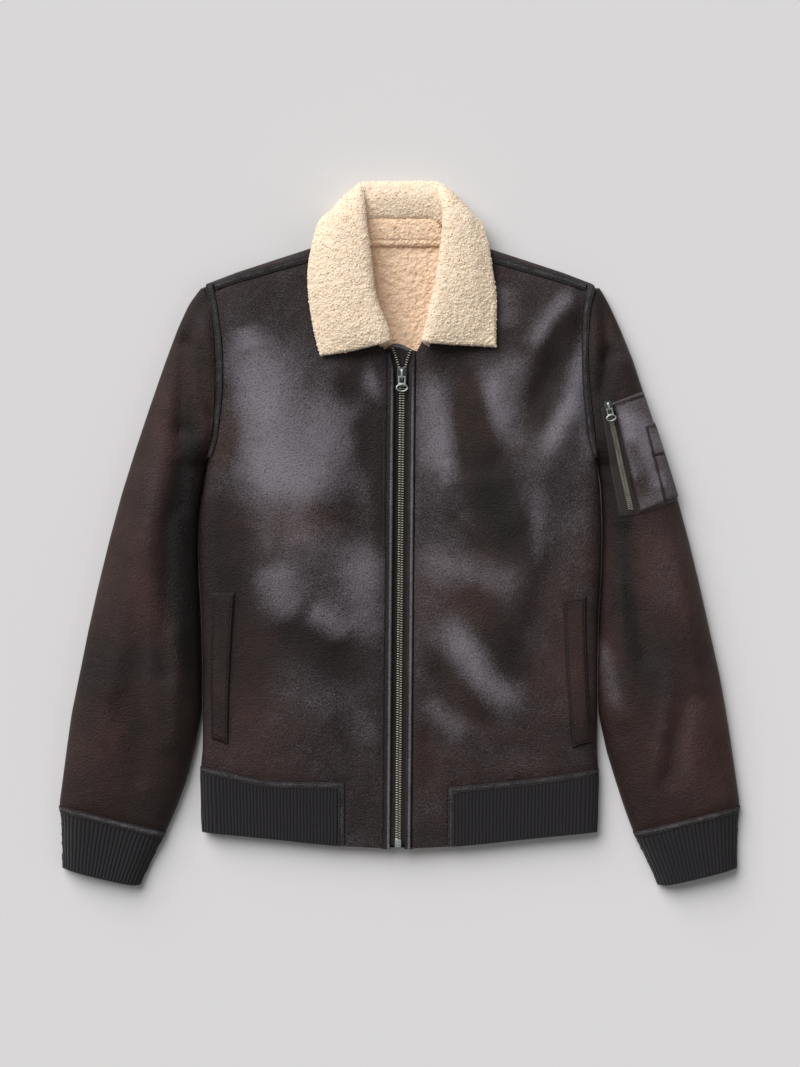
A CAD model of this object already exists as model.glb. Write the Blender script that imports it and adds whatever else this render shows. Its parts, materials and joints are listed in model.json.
# %% [markdown]
# # A zipped blouson jacket, laid flat
# The jacket is bonded faux shearling: a thin burnished leather face on a thick cream pile. Its maker cut
# two fronts, a back, two sleeves and a few narrow leather strips, knitted the waistband and the cuffs, and
# folded a pile collar over the neck. Here it lies on its back on a pale table, zipped up.
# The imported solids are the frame: every piece below lies where its plain solid lies, with a finer form.

# %% Load the frame
import json
import math

import bmesh
import bpy
import numpy as np
from mathutils import Matrix

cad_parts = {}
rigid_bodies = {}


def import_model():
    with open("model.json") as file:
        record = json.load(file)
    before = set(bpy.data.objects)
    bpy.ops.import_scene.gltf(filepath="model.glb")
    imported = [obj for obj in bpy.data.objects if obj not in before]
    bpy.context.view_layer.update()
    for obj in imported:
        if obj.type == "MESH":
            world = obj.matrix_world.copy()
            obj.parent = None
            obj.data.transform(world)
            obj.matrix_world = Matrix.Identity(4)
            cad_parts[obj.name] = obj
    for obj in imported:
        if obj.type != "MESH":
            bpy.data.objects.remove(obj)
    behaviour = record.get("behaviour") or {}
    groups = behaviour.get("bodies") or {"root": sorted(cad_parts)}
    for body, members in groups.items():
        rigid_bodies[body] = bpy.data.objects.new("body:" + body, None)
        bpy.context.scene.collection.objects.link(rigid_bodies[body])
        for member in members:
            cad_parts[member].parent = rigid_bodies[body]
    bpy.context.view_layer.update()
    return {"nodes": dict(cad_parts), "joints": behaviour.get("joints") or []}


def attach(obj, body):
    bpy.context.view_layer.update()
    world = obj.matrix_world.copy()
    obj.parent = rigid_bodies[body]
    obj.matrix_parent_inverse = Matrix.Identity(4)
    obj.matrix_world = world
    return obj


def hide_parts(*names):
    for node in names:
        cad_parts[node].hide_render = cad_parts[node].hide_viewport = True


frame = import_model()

MM = 0.001
SIDES = {"right": -1, "left": 1}
for old in [o for o in bpy.data.objects if o.name in ("Cube", "Light", "Camera")]:
    bpy.data.objects.remove(old)
print("solids in the frame:", len(frame["nodes"]))

# %% [markdown]
# ## Camera, table and light
# The photograph looks straight down. One pixel is 1.15 mm at the height of the fronts, so a camera 3.2 m
# up with a long lens gives the same picture with hardly any perspective. The table is evenly lit to
# its corners, so the light is far away and broad: one main light from the upper left, a weak one from the
# right, and a bright room round them.

# %% Camera, table and lamps
CAMERA_HEIGHT = 3.2
FRAME_LONG_SIDE = 1.227
FRONT_HEIGHT = 0.022
SENSOR = 36.0

scene = bpy.context.scene
scene.view_settings.view_transform = "Standard"
lens = bpy.data.cameras.new("camera")
lens.sensor_width = SENSOR
lens.lens = SENSOR * (CAMERA_HEIGHT - FRONT_HEIGHT) / FRAME_LONG_SIDE
camera = bpy.data.objects.new("camera", lens)
camera.location = (0.0006, -0.0006, CAMERA_HEIGHT)
scene.collection.objects.link(camera)
scene.camera = camera


def far_light(name, tilt, compass, breadth, power):
    """A broad light far away. tilt is from overhead, compass turns it round the table from the near side."""
    light = bpy.data.lights.new(name, "SUN")
    light.angle = math.radians(breadth)
    light.energy = power
    made = bpy.data.objects.new(name, light)
    made.rotation_euler = (math.radians(tilt), 0.0, math.radians(compass))
    scene.collection.objects.link(made)


far_light("main_light_upper_left", 54.0, 216.0, 56.0, 4.15)
far_light("weak_light_right", 58.0, 80.0, 40.0, 0.30)
world = bpy.data.worlds.new("room")
world.use_nodes = True
world.node_tree.nodes["Background"].inputs["Color"].default_value = (1.0, 1.0, 1.0, 1.0)
world.node_tree.nodes["Background"].inputs["Strength"].default_value = 0.19
scene.world = world
print("lens in mm:", round(lens.lens, 1))

# %% [markdown]
# ## Small tools for finishes
# Each finish is a small graph of noise, cells and ramps that ends in the shader. The helpers below keep
# such a graph short enough to read: one adds a node, one mixes two colours, one makes a ramp.

# %% Helpers for the finishes


class Graph:
    """A node tree in the making. Adding a node sets its inputs and its settings in one go."""

    def node(self, kind, inputs=None, **settings):
        made = self.tree.nodes.new(kind)
        for key, value in settings.items():
            setattr(made, key, value)
        for key, value in (inputs or {}).items():
            self.feed(made.inputs[key], value)
        return made

    def feed(self, socket, value):
        if isinstance(value, bpy.types.NodeSocket):
            self.tree.links.new(value, socket)
        else:
            socket.default_value = value

    def math(self, operation, a, b=0.0):
        return self.node("ShaderNodeMath", {0: a, 1: b}, operation=operation).outputs[0]

    def plus(self, a, b):
        return self.math("ADD", a, b)

    def minus(self, a, b):
        return self.math("SUBTRACT", a, b)

    def times(self, a, b):
        return self.math("MULTIPLY", a, b)


class Finish(Graph):
    """A material in the making: its nodes, its shader, and the coordinates on the object."""

    def __init__(self, name, **values):
        self.material = bpy.data.materials.new(name)
        self.material.use_nodes = True
        self.tree = self.material.node_tree
        self.shader = self.tree.nodes["Principled BSDF"]
        for socket, value in values.items():
            self.shader.inputs[socket.replace("_", " ")].default_value = value
        self.place = self.node("ShaderNodeTexCoord").outputs["Object"]

    def noise(self, scale, detail=3.0, rough=0.5, place=None):
        return self.node("ShaderNodeTexNoise", {"Vector": place or self.place, "Scale": scale,
                         "Detail": detail, "Roughness": rough}).outputs["Fac"]

    def cells(self, scale, place=None, feature="F1", output="Distance"):
        return self.node("ShaderNodeTexVoronoi", {"Vector": place or self.place, "Scale": scale},
                         feature=feature).outputs[output]

    def ramp(self, value, low, high, start=0.0, end=1.0):
        """Maps low..high of a value to start..end, softly."""
        return self.node("ShaderNodeMapRange", {"Value": value, "From Min": low, "From Max": high,
                         "To Min": start, "To Max": end}, interpolation_type="SMOOTHSTEP").outputs["Result"]

    def mix(self, share, a, b):
        made = self.node("ShaderNodeMix", data_type="RGBA")
        for index, value in ((0, share), (6, a), (7, b)):
            self.feed(made.inputs[index], (*value, 1.0) if isinstance(value, tuple) else value)
        return made.outputs[2]

    def attribute(self, name):
        return self.node("ShaderNodeAttribute", attribute_name=name).outputs["Fac"]

    def bump(self, height, distance, below=None):
        inputs = {"Height": height, "Distance": distance}
        if below is not None:
            inputs["Normal"] = below
        return self.node("ShaderNodeBump", inputs).outputs["Normal"]

    def finish(self, colour, normal, roughness=None):
        self.feed(self.shader.inputs["Base Color"], colour)
        self.feed(self.shader.inputs["Normal"], normal)
        if roughness is not None:
            self.feed(self.shader.inputs["Roughness"], roughness)
        return self.material


# %% [markdown]
# ## Burnished leather
# The face is dyed nearly black, rubbed brown in wide clouds, and rubbed again so that every ridge is a pale
# plum grey and every trough stays dark. Two float attributes painted on the panels further down say where:
# burnish for the brown, worn for ridges (above 0) and troughs (below 0). The grain is fine pebbles of about
# two millimetres with dark pores between them. Nodes give it at the true scale, which no mesh could carry.

# %% The leather finishes


def leather(name, deep, brown, pale, gloss=0.0):
    """Dark leather with brown clouds, pale ridges and a pebble grain."""
    f = Finish(name, Specular_IOR_Level=0.22)
    clouds = f.plus(f.times(f.noise(7.0, 4.0, 0.6), 0.75), f.attribute("burnish"))
    clouds = f.plus(clouds, f.times(f.noise(46.0, 4.0, 0.65), 0.32))
    colour = f.mix(f.ramp(clouds, 0.42, 1.10), deep, brown)
    grain = f.minus(f.noise(620.0, 3.0, 0.75), 0.5)
    mottle = f.plus(f.times(f.noise(24.0, 5.0, 0.68), 0.62), f.times(grain, 1.6))
    worn = f.plus(f.attribute("worn"), mottle)
    colour = f.mix(f.ramp(worn, 0.18, 1.50), colour, pale)
    colour = f.mix(f.ramp(worn, 0.18, -0.80), colour, tuple(0.3 * c for c in deep))
    pebble = f.cells(520.0, f.place, "SMOOTH_F1")
    pores = f.ramp(f.minus(pebble, grain), 0.45, 0.95)
    colour = f.mix(f.times(pores, 0.6), colour, deep)
    wrinkle = f.node("ShaderNodeMapping", {"Vector": f.place, "Scale": (1.0, 0.6, 1.0)}).outputs[0]
    soft = f.bump(f.noise(60.0, 3.0, 0.55, wrinkle), 0.0011)
    raised = f.bump(f.minus(f.times(grain, 1.6), pebble), 0.0007, soft)
    dull = f.plus(f.noise(16.0), f.times(f.noise(300.0, 2.0), 0.4))
    return f.finish(colour, raised, f.ramp(dull, 0.4, 1.0, 0.52 - gloss, 0.42 - gloss))


SHELL = leather("burnished_leather", (0.0125, 0.0068, 0.0064), (0.058, 0.0265, 0.0215), (0.198, 0.179, 0.203))
TRIM = leather("rubbed_leather_trim", (0.0105, 0.0080, 0.0084), (0.027, 0.0145, 0.0125),
               (0.170, 0.161, 0.172), 0.04)
print("leather nodes:", len(SHELL.node_tree.nodes))

# %% [markdown]
# ## Pile, knit, tape, thread and metal
# Pile is short curled wool, so its finish is rough with a little sheen, light on the curls and warmer in
# the hollows. The knit's stitches follow the cloth, so it reads the piece's own UV map, where one unit
# across is a rib. The zip's tape is a herringbone weave, and its metal is silver darkened in its hollows.

# %% The other finishes


def pile_finish(name, crest, hollow):
    f = Finish(name, Roughness=0.95, Sheen_Weight=0.2, Sheen_Roughness=0.6, Specular_IOR_Level=0.1)
    curl = f.node("ShaderNodeTexNoise", {"Vector": f.place, "Scale": 240.0, "Detail": 2.0}).outputs["Color"]
    bent = f.node("ShaderNodeMix", data_type="VECTOR")
    f.feed(bent.inputs[0], 0.003)
    f.feed(bent.inputs[4], f.place)
    f.feed(bent.inputs[5], curl)
    between = f.cells(250.0, bent.outputs[1], "DISTANCE_TO_EDGE")
    open_here = f.ramp(f.noise(120.0, 2.0), 0.38, 0.66)
    crack = f.times(f.ramp(between, 0.16, 0.0), open_here)
    fibres = f.noise(1300.0, 3.0, 0.7)
    colour = f.mix(f.ramp(f.noise(30.0), 0.3, 0.75), crest, tuple(0.95 * c for c in crest))
    colour = f.mix(f.ramp(fibres, 0.35, 0.8, 0.0, 0.18), colour, hollow)
    colour = f.mix(f.times(crack, 0.5), colour, hollow)
    height = f.plus(f.times(fibres, 0.30), f.ramp(between, 0.0, 0.35))
    return f.finish(colour, f.bump(height, 0.00045))


def knit_finish(name, thread, gap):
    """Each rib is a column of V shaped stitches; u counts ribs and v is metres along them."""
    f = Finish(name, Roughness=0.88, Sheen_Weight=0.18, Specular_IOR_Level=0.2)
    uv = f.node("ShaderNodeSeparateXYZ", {0: f.node("ShaderNodeTexCoord").outputs["UV"]}).outputs
    fold = f.math("ABSOLUTE", f.minus(f.math("FRACT", uv[0]), 0.5))
    lean = f.plus(f.times(uv[1], 720.0), f.times(fold, 1.7))
    stitch = f.times(f.math("SINE", f.times(lean, 2.0 * math.pi)), 0.5)
    crest = f.ramp(fold, 0.12, 0.5, 1.0, 0.0)
    shade = f.ramp(f.plus(f.times(stitch, 0.35), crest), 0.0, 1.1)
    fuzz = f.noise(1500.0, 3.0, 0.7)
    colour = f.mix(f.times(shade, f.ramp(f.noise(60.0), 0.2, 0.8, 0.75, 1.0)), gap, thread)
    height = f.plus(f.times(stitch, 0.5), f.times(fuzz, 0.4))
    return f.finish(colour, f.bump(height, 0.0005))


def tape_finish(name, light, dark):
    f = Finish(name, Roughness=0.8, Sheen_Weight=0.1, Specular_IOR_Level=0.25)
    xyz = f.node("ShaderNodeSeparateXYZ", {0: f.place}).outputs
    zigzag = f.math("PINGPONG", f.times(xyz[0], 620.0), 1.0)
    turns = f.plus(f.times(xyz[1], 900.0), zigzag)
    weave = f.math("SINE", f.times(turns, 2.0 * math.pi))
    shade = f.ramp(f.plus(weave, f.noise(800.0)), -0.6, 1.6)
    return f.finish(f.mix(shade, dark, light), f.bump(shade, 0.00025))


def metal_finish(name, bright, dull, rough=0.34):
    f = Finish(name, Metallic=1.0)
    grime = f.ramp(f.noise(260.0, 2.0), 0.35, 0.75)
    scratch = f.node("ShaderNodeMapping", {"Vector": f.place, "Scale": (900.0, 120.0, 900.0)}).outputs[0]
    lines = f.noise(1.0, 3.0, 0.6, scratch)
    worn_rough = f.ramp(grime, 0.0, 1.0, rough, rough + 0.18)
    return f.finish(f.mix(grime, bright, dull), f.bump(lines, 0.00006), worn_rough)


def thread_finish(name, colour):
    f = Finish(name, Roughness=0.7, Sheen_Weight=0.15)
    twist = f.node("ShaderNodeTexWave", {"Vector": f.place, "Scale": 700.0, "Distortion": 1.0}).outputs["Fac"]
    return f.finish(f.mix(twist, tuple(0.5 * c for c in colour), colour), f.bump(twist, 0.0001))


PILE = pile_finish("cream_pile", (0.90, 0.735, 0.555), (0.64, 0.45, 0.29))
LINING = pile_finish("inner_pile", (0.95, 0.70, 0.50), (0.52, 0.31, 0.175))
KNIT = knit_finish("charcoal_rib_knit", (0.0175, 0.0150, 0.0178), (0.0060, 0.0050, 0.0062))
TAPE = tape_finish("dark_woven_tape", (0.036, 0.028, 0.025), (0.010, 0.0085, 0.0075))
SILVER = metal_finish("antique_silver", (0.50, 0.54, 0.52), (0.30, 0.33, 0.315))
DARK_SILVER = metal_finish("darkened_silver", (0.12, 0.13, 0.125), (0.045, 0.05, 0.048), 0.42)
TEETH = metal_finish("bright_zip_teeth", (1.0, 0.96, 0.84), (0.80, 0.75, 0.64), 0.42)
DARK_TEETH = metal_finish("dull_zip_teeth", (0.78, 0.74, 0.64), (0.42, 0.39, 0.33), 0.42)
THREAD = thread_finish("dark_thread", (0.026, 0.019, 0.018))
table = Finish("pale_table", Roughness=0.9, Specular_IOR_Level=0.1)
cloudy = table.mix(table.ramp(table.noise(3.0), 0.2, 0.8), (0.678, 0.666, 0.666), (0.682, 0.670, 0.670))
TABLE = table.finish(cloudy, table.bump(table.noise(900.0), 0.00003))
print("finishes:", len(bpy.data.materials))

# %% The table top
table_mesh = bpy.data.meshes.new("table_top")
table_mesh.from_pydata([(-6, -6, 0), (6, -6, 0), (6, 6, 0), (-6, 6, 0)], [], [(0, 1, 2, 3)])
table_mesh.materials.append(TABLE)
table_top = bpy.data.objects.new("table_top", table_mesh)
scene.collection.objects.link(table_top)


# %% [markdown]
# ## Lines and grids
# A jacket is cut from flat cloth, so each piece starts as a flat plan: four curved edges and a grid of
# points between them. A second function then lifts a plan point to its height on the lying garment. Both
# work on whole arrays at once, which keeps grids of ten thousand points quick.

# %% Helpers for lines and plans


def smooth(t):
    t = np.clip(t, 0.0, 1.0)
    return t * t * (3.0 - 2.0 * t)


def shares(count):
    """Evenly spaced shares of a whole, from 0 to 1."""
    return np.linspace(0.0, 1.0, count)


def joined(*columns):
    """Arrays of x, y and perhaps z, of shapes that go together, as one array of points."""
    return np.stack(np.broadcast_arrays(*columns), -1)


def soft_line(rows, column, reach=16.0):
    """A column of a table as a smooth function of the first column."""
    rows = sorted(rows)
    keys = np.arange(rows[0][0], rows[-1][0] + 1.0, 2.0)
    values = np.interp(keys, [r[0] for r in rows], [r[column] for r in rows])
    half = int(reach / 2)
    weights = np.hanning(2 * half + 3)[1:-1]
    padded = np.pad(values, half, mode="reflect", reflect_type="odd")
    values = np.convolve(padded, weights / weights.sum(), mode="valid")
    return lambda key: np.interp(key, keys, values)


def smooth_between(a, b, c, d, t):
    """The stretch from b to c of a smooth curve through four points."""
    bend = (2 * a - 5 * b + 4 * c - d) * t ** 2 + (3 * b - a - 3 * c + d) * t ** 3
    return 0.5 * (2 * b + (c - a) * t + bend)


def with_ends(points):
    """Points with one more at each end, straight on, for a smooth curve to start and stop at."""
    return np.vstack([2 * points[0] - points[1], points, 2 * points[-1] - points[-2]])


def run_through(points):
    """A smooth curve through points, as a function of an array of shares of its length."""
    p = with_ends(np.array([tuple(q) for q in points], float))
    t = np.linspace(0.0, 1.0, 16, endpoint=False)[:, None]
    dense = [smooth_between(*four, t) for four in zip(p, p[1:], p[2:], p[3:])]
    dense = np.vstack(dense + [p[-2:-1]])
    gone = np.concatenate([[0.0], np.cumsum(np.linalg.norm(np.diff(dense, axis=0), axis=1))])
    return lambda s: np.stack([np.interp(np.clip(s, 0, 1) * gone[-1], gone, dense[:, k])
                               for k in range(p.shape[1])], -1)


def one_after_other(first, second, share):
    """One line from two: the first up to share, the second after it."""
    def at(t):
        t = np.asarray(t, float)
        return np.where((t <= share)[..., None], first(t / share), second((t - share) / (1.0 - share)))
    return at


def straight(start, end):
    start, end = np.array(start, float), np.array(end, float)
    return lambda s: start + (end - start) * np.asarray(s, float)[..., None]


def between_heights(line_x, start, end):
    """The stretch of a fold or an edge from one height up the jacket to another."""
    def at(t):
        y = start + (end - start) * np.asarray(t, float)
        return joined(line_x(y), y)
    return at


def patch(left, right, bottom, top, across, up):
    """Plan points that fill the space between four lines."""
    u, v = across[None, :, None], up[:, None, None]
    west, east, south, north = left(up)[:, None], right(up)[:, None], bottom(across)[None], top(across)[None]
    corners = (west[0] * (1 - u) + east[0] * u) * (1 - v) + (west[-1] * (1 - u) + east[-1] * u) * v
    return west * (1 - u) + east * u + south * (1 - v) + north * v - corners


def from_fold(width, turn, rise, spacing):
    """Distances in plan from a folded edge, evenly spaced over the cloth round the fold and beyond."""
    arc = math.pi / 2 * math.hypot(turn, rise) / math.sqrt(2)
    run = np.linspace(0.0, arc + width - turn, max(int((arc + width - turn) / spacing), 4) + 1)
    bend = turn * (1.0 - np.cos(np.minimum(run / arc, 1.0) * math.pi / 2))
    return np.where(run < arc, bend, turn + run - arc)


def fold_to_fold(width, turn, rise, spacing):
    """Shares of a width with a folded edge at both ends."""
    half = from_fold(width / 2, turn, rise, spacing) / width
    return np.concatenate([half, 1.0 - half[-2::-1]])


def near(points, x, y):
    """Distance to a bent line, and the share along it."""
    points = np.array(points, float)
    lengths = np.linalg.norm(np.diff(points, axis=0), axis=1)
    away, share, gone = np.full(np.shape(x), 1e9), np.zeros(np.shape(x)), 0.0
    for (x0, y0), (x1, y1), length in zip(points, points[1:], lengths):
        t = np.clip(((x - x0) * (x1 - x0) + (y - y0) * (y1 - y0)) / length ** 2, 0.0, 1.0)
        here = np.hypot(x - x0 - t * (x1 - x0), y - y0 - t * (y1 - y0))
        share = np.where(here < away, (gone + t * length) / lengths.sum(), share)
        away = np.minimum(away, here)
        gone += length
    return away, share


# %% [markdown]
# ## The folded edges
# Laid flat, the body and each sleeve are tubes pressed flat, so their outlines are folds and not cut
# edges. These tables hold the folds in millimetres: how far up the jacket, then the distance from the
# middle at the wearer's right and left. The sleeve's fold follows the body's where they lie side by side.

# %% Where the folds run
SEAM_Z = 9.0              # height of the body's folded edge above the surface
SLEEVE_SEAM_Z = 5.2       # the same of a sleeve and its cuff, whose underside is a flat panel
TRAY_TURN = 9.0           # how far in the underside turns up
BODY_TURN = 22.0          # how far in the upper side rounds down to the fold
SLEEVE_TURN = 25.0
SHOULDER_TURN = 9.0
SLEEVE_CLEARANCE = 1.4    # between the sleeve and the body that it lies beside
SLEEVE_LEAVES_BODY_Y = -206.0
ARMPIT_Y = 78.0

SIDE_FOLD = [
    (-366, 226, 226.5), (-346, 226, 226.5), (-338, 229.4, 229.4), (-268, 229.4, 229.4),
    (-250, 227.1, 228), (-146, 227.1, 228.3), (-92, 228.5, 229.4), (-42, 231.4, 232.5),
    (-3, 231.1, 233.3), (29, 229.4, 232.5), (53, 224.8, 231.4), (78, 221.9, 227.6),
    (100, 246, 250), (120, 270, 275), (340, 400, 400),
]
SLEEVE_OUTER_FOLD = [
    (-400, 388.8, 389.3), (-386, 388.8, 389.3), (-350, 387.8, 388.5), (-323, 391, 391),
    (-315, 393.5, 393.5), (-298, 391, 391), (-249.5, 384.7, 384.1), (-208, 378.9, 377.8),
    (-163, 369.7, 369.7), (-111.5, 359.4, 358.2), (-59.8, 347.9, 346.7), (-8, 335.2, 334.1),
    (43.7, 321.4, 320.3), (95.4, 305.3, 304.2), (147, 288.1, 286.9), (200, 269.7, 269.7),
    (236.9, 255.9, 254.7), (264.5, 243.2, 242.1), (283, 229.4, 231.7), (300, 215, 218),
]
SLEEVE_INNER_FOLD_LOW = [
    (-406, 300, 299), (-380, 290, 289), (-364, 281, 280.6), (-353, 273.5, 273.5),
    (-341, 268, 268.5), (-316, 257, 259.3), (-284, 245.5, 249), (-249.5, 236.3, 238.6),
    (-206, 228.3, 229.6),
]
SLEEVE_INNER_FOLD_HIGH = [(100, 196, 202), (120, 170, 175), (340, 60, 60)]

COLUMN = {"right": 1, "left": 2}


def fold_line(rows, side):
    """A fold's x from y. Near the armpit, where it turns sharply, the plain table holds."""
    soft = soft_line(rows, COLUMN[side])
    keys, values = [r[0] for r in sorted(rows)], [r[COLUMN[side]] for r in sorted(rows)]

    def at(y):
        sharp = smooth((y - 30.0) / 30.0)
        return SIDES[side] * (soft(y) * (1 - sharp) + np.interp(y, keys, values) * sharp)
    return at


side_fold = {side: fold_line(SIDE_FOLD, side) for side in SIDES}
outer_fold = {}
inner_fold = {}
for side, sign in SIDES.items():
    rows = [r for r in SLEEVE_OUTER_FOLD if r[0] < 290.0] + [(300.0, 215.0, 218.0)]
    soft = soft_line(rows, COLUMN[side], 10.0)
    outer_fold[side] = lambda y, soft=soft, sign=sign: sign * soft(y)
    pit = abs(float(side_fold[side](ARMPIT_Y))) + SLEEVE_CLEARANCE
    beside = [(y, *(abs(float(side_fold[s](y))) + SLEEVE_CLEARANCE for s in SIDES))
              for y in np.arange(SLEEVE_LEAVES_BODY_Y + 6.0, ARMPIT_Y, 6.0)]
    rows = SLEEVE_INNER_FOLD_LOW + beside + [(ARMPIT_Y, pit, pit)] + SLEEVE_INNER_FOLD_HIGH
    inner_fold[side] = fold_line(rows, side)
print("body is", round(float(side_fold["left"](0.0) - side_fold["right"](0.0))), "mm wide")

# %% [markdown]
# ## Heights
# Two layers of 5 mm cloth with air between them lie 20 to 30 mm high. The fronts are highest half way
# between zip and side, and each sleeve has a crown. Folds are soft ridges and troughs along short bent
# lines, each with its own length, width and depth, placed where the photograph shows them: slanting from
# the armholes, round the elbows and beside the zip. Close to a seam the stitches pull the cloth down.

# %% Heights and folds
SHOULDER_OUTLINE = [
    (231, 281.5), (222, 287.8), (188, 300.8), (142, 315.9), (106, 327.6), (80, 337),
]
ARMHOLE_BODY_SIDE = {
    "right": [
        (211.3, 100), (205.6, 139.1), (202.7, 171.3), (203.2, 211.6), (208, 251.8), (212.4, 277.6),
    ],
    "left": [
        (217.4, 106.4), (213.4, 139.1), (210.6, 171.3), (209.6, 210), (211.3, 251.8), (214.6, 277.5),
    ],
}
ARMHOLE_SLEEVE_SIDE = {
    "right": [
        (216.6, 110), (213.9, 139.1), (212.6, 171.3), (212.4, 203.5), (214.6, 235.7), (219.2, 267.5),
        (223.6, 277.6),
    ],
    "left": [
        (226, 110), (222.6, 139.1), (219.2, 171.3), (217.9, 203.5), (218.9, 235.7), (221.6, 267.5),
        (224.8, 276.6),
    ],
}
BODY_HEIGHTS = [
    (-366, 17.5, 16.5, 16), (-290, 19, 18.5, 18), (-200, 21.5, 26, 23),
    (-40, 22, 29.5, 25), (110, 22, 29, 25), (200, 21, 24.5, 24.5),
    (270, 20, 21, 22), (340, 18, 18, 18),
]
BODY_MIDDLE_X = 110.0
BODY_SIDE_X = 205.0
SLEEVE_HEIGHTS = [
    (-410, 17, 0), (-350, 18.5, 1), (-310, 21, 4), (-200, 24, 9),
    (0, 24, 9), (120, 23, 6), (230, 22.5, 3), (290, 20, 0),
]
CROWN_REACH = 48.0
ARMHOLE_DIP = 2.6
ARMHOLE_DIP_WIDTH = 9.0
BODY_FOLDS = [
    (-183, 245, -80, 61, 26, 3.6),
    (-126, -31, -100, -150, 34, 2.6),
    (-60, 150, -44, 0, 22, -3.2),
    (-202, 150, -158, 0, 16, -2.6),
    (-176, -60, -150, -200, 18, -2.2),
    (-60, -120, -52, -250, 18, -2.2),
    (196, 262, 104, 148, 17, 3.4),
    (204, 140, 132, 12, 17, 3.2),
    (182, 190, 110, 76, 14, -2.8),
    (56, 196, 82, 78, 18, -3.4),
    (150, -20, 90, -180, 26, 2.4),
    (190, 20, 150, -120, 16, -2.4),
    (60, -60, 48, -240, 18, -2.4),
]
SLEEVE_FOLDS = {
    "right": [
        (-224, 268, -247, 218, 9, -4.6), (-247, 218, -250, 120, 10, -4.6),
        (-250, 120, -253, 30, 12, -3.6), (-229, 210, -216, 136, 8, -2.4),
        (-270, 10, -268, -160, 12, -3), (-300, -20, -330, -180, 18, 3),
        (-258, -120, -262, -240, 12, 2.6), (-322, -190, -300, -280, 12, -2.4),
    ],
    "left": [
        (236, 262, 240, 206, 9, -4.6), (240, 206, 232, 160, 9, -4.2),
        (262, 0, 282, -140, 12, -3.2), (322, -20, 346, -170, 16, 3),
        (252, -60, 262, -210, 11, 2.6), (330, -190, 308, -285, 13, -2.4),
    ],
}

# Creases: the line's points, its half width, and its strength: a ridge is above 0, a trough below.
FRONT_CREASES = [
    ([(-140, 250), (-118, 120), (-100, 0), (-86, -110)], 52, 0.42),
    ([(150, 250), (176, 130), (186, 0), (180, -60)], 42, 0.30),
    ([(50, 180), (46, 60), (60, -80), (110, -200)], 36, 0.22),
    ([(-176, 250), (-166, 200), (-154, 130), (-150, 60), (-150, 10)], 24, 1),
    ([(-177, 240), (-170, 208)], 11, 0.6),
    ([(-78, 176), (-76, 120), (-98, 60), (-110, 16)], 23, 0.7),
    ([(-34, 190), (-44, 160), (-52, 120)], 9, 0.7), ([(34, 192), (38, 130), (48, 60)], 19, 0.4),
    ([(-146, -30), (-136, -70), (-110, -96)], 18, 0.75),
    ([(-108, -84), (-88, -96), (-58, -128)], 13, 0.9),
    ([(-60, -8), (-40, -50), (-38, -110), (-50, -132)], 17, 0.7),
    ([(-160, -114), (-112, -124), (-84, -132), (-54, -156)], 11, -0.7),
    ([(-142, -160), (-110, -190), (-74, -196), (-34, -180)], 15, 0.35),
    ([(-64, 196), (-50, 152), (-34, 108), (-30, 60)], 13, -1),
    ([(-38, 202), (-30, 170), (-22, 146)], 5, 0.5),
    ([(-24, 90), (-20, 20), (-24, -30)], 7, -0.5),
    ([(-222, 60), (-208, -40), (-200, -120), (-180, -224)], 22, -0.8),
    ([(-206, 190), (-196, 130), (-198, 70)], 9, -0.35),
    ([(-40, -200), (-34, -250)], 9, 0.3),
    ([(40, 196), (44, 140), (54, 64)], 14, 0.55),
    ([(52, 90), (60, 50)], 10, 0.5),
    ([(76, 202), (80, 140), (96, 70), (124, 10), (150, -44)], 14, -1),
    ([(98, 66), (112, 12), (134, -32)], 15, -0.6),
    ([(96, 198), (112, 140), (136, 90)], 10, 0.8),
    ([(134, 214), (132, 164), (140, 120)], 19, 0.5),
    ([(-112, 34), (-76, 22), (-40, 30)], 14, -0.45),
    ([(120, 290), (122, 230)], 11, 0.6),
    ([(202, 262), (176, 210), (158, 150), (152, 108)], 12, -0.85),
    ([(204, 288), (172, 244), (152, 204)], 8, 0.95),
    ([(214, 238), (204, 170), (188, 132), (160, 76)], 8, 0.95),
    ([(206, 160), (212, 110), (224, 60)], 6, 0.4),
    ([(162, 66), (158, 10), (156, -48)], 8, 0.45),
    ([(30, -8), (52, -40), (110, -54), (154, -58)], 13, 0.45),
    ([(48, 34), (76, 2), (112, -26)], 5, -0.3),
    ([(44, -72), (86, -80), (112, -122), (150, -168)], 12, -0.7),
    ([(40, -98), (76, -134), (106, -176), (154, -208)], 13, 0.9),
    ([(30, -184), (50, -214), (86, -230)], 9, 0.55),
    ([(24, -130), (50, -160), (80, -200), (112, -228)], 8, -0.45),
    ([(20, -216), (28, -300)], 9, -0.5),
]
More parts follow.
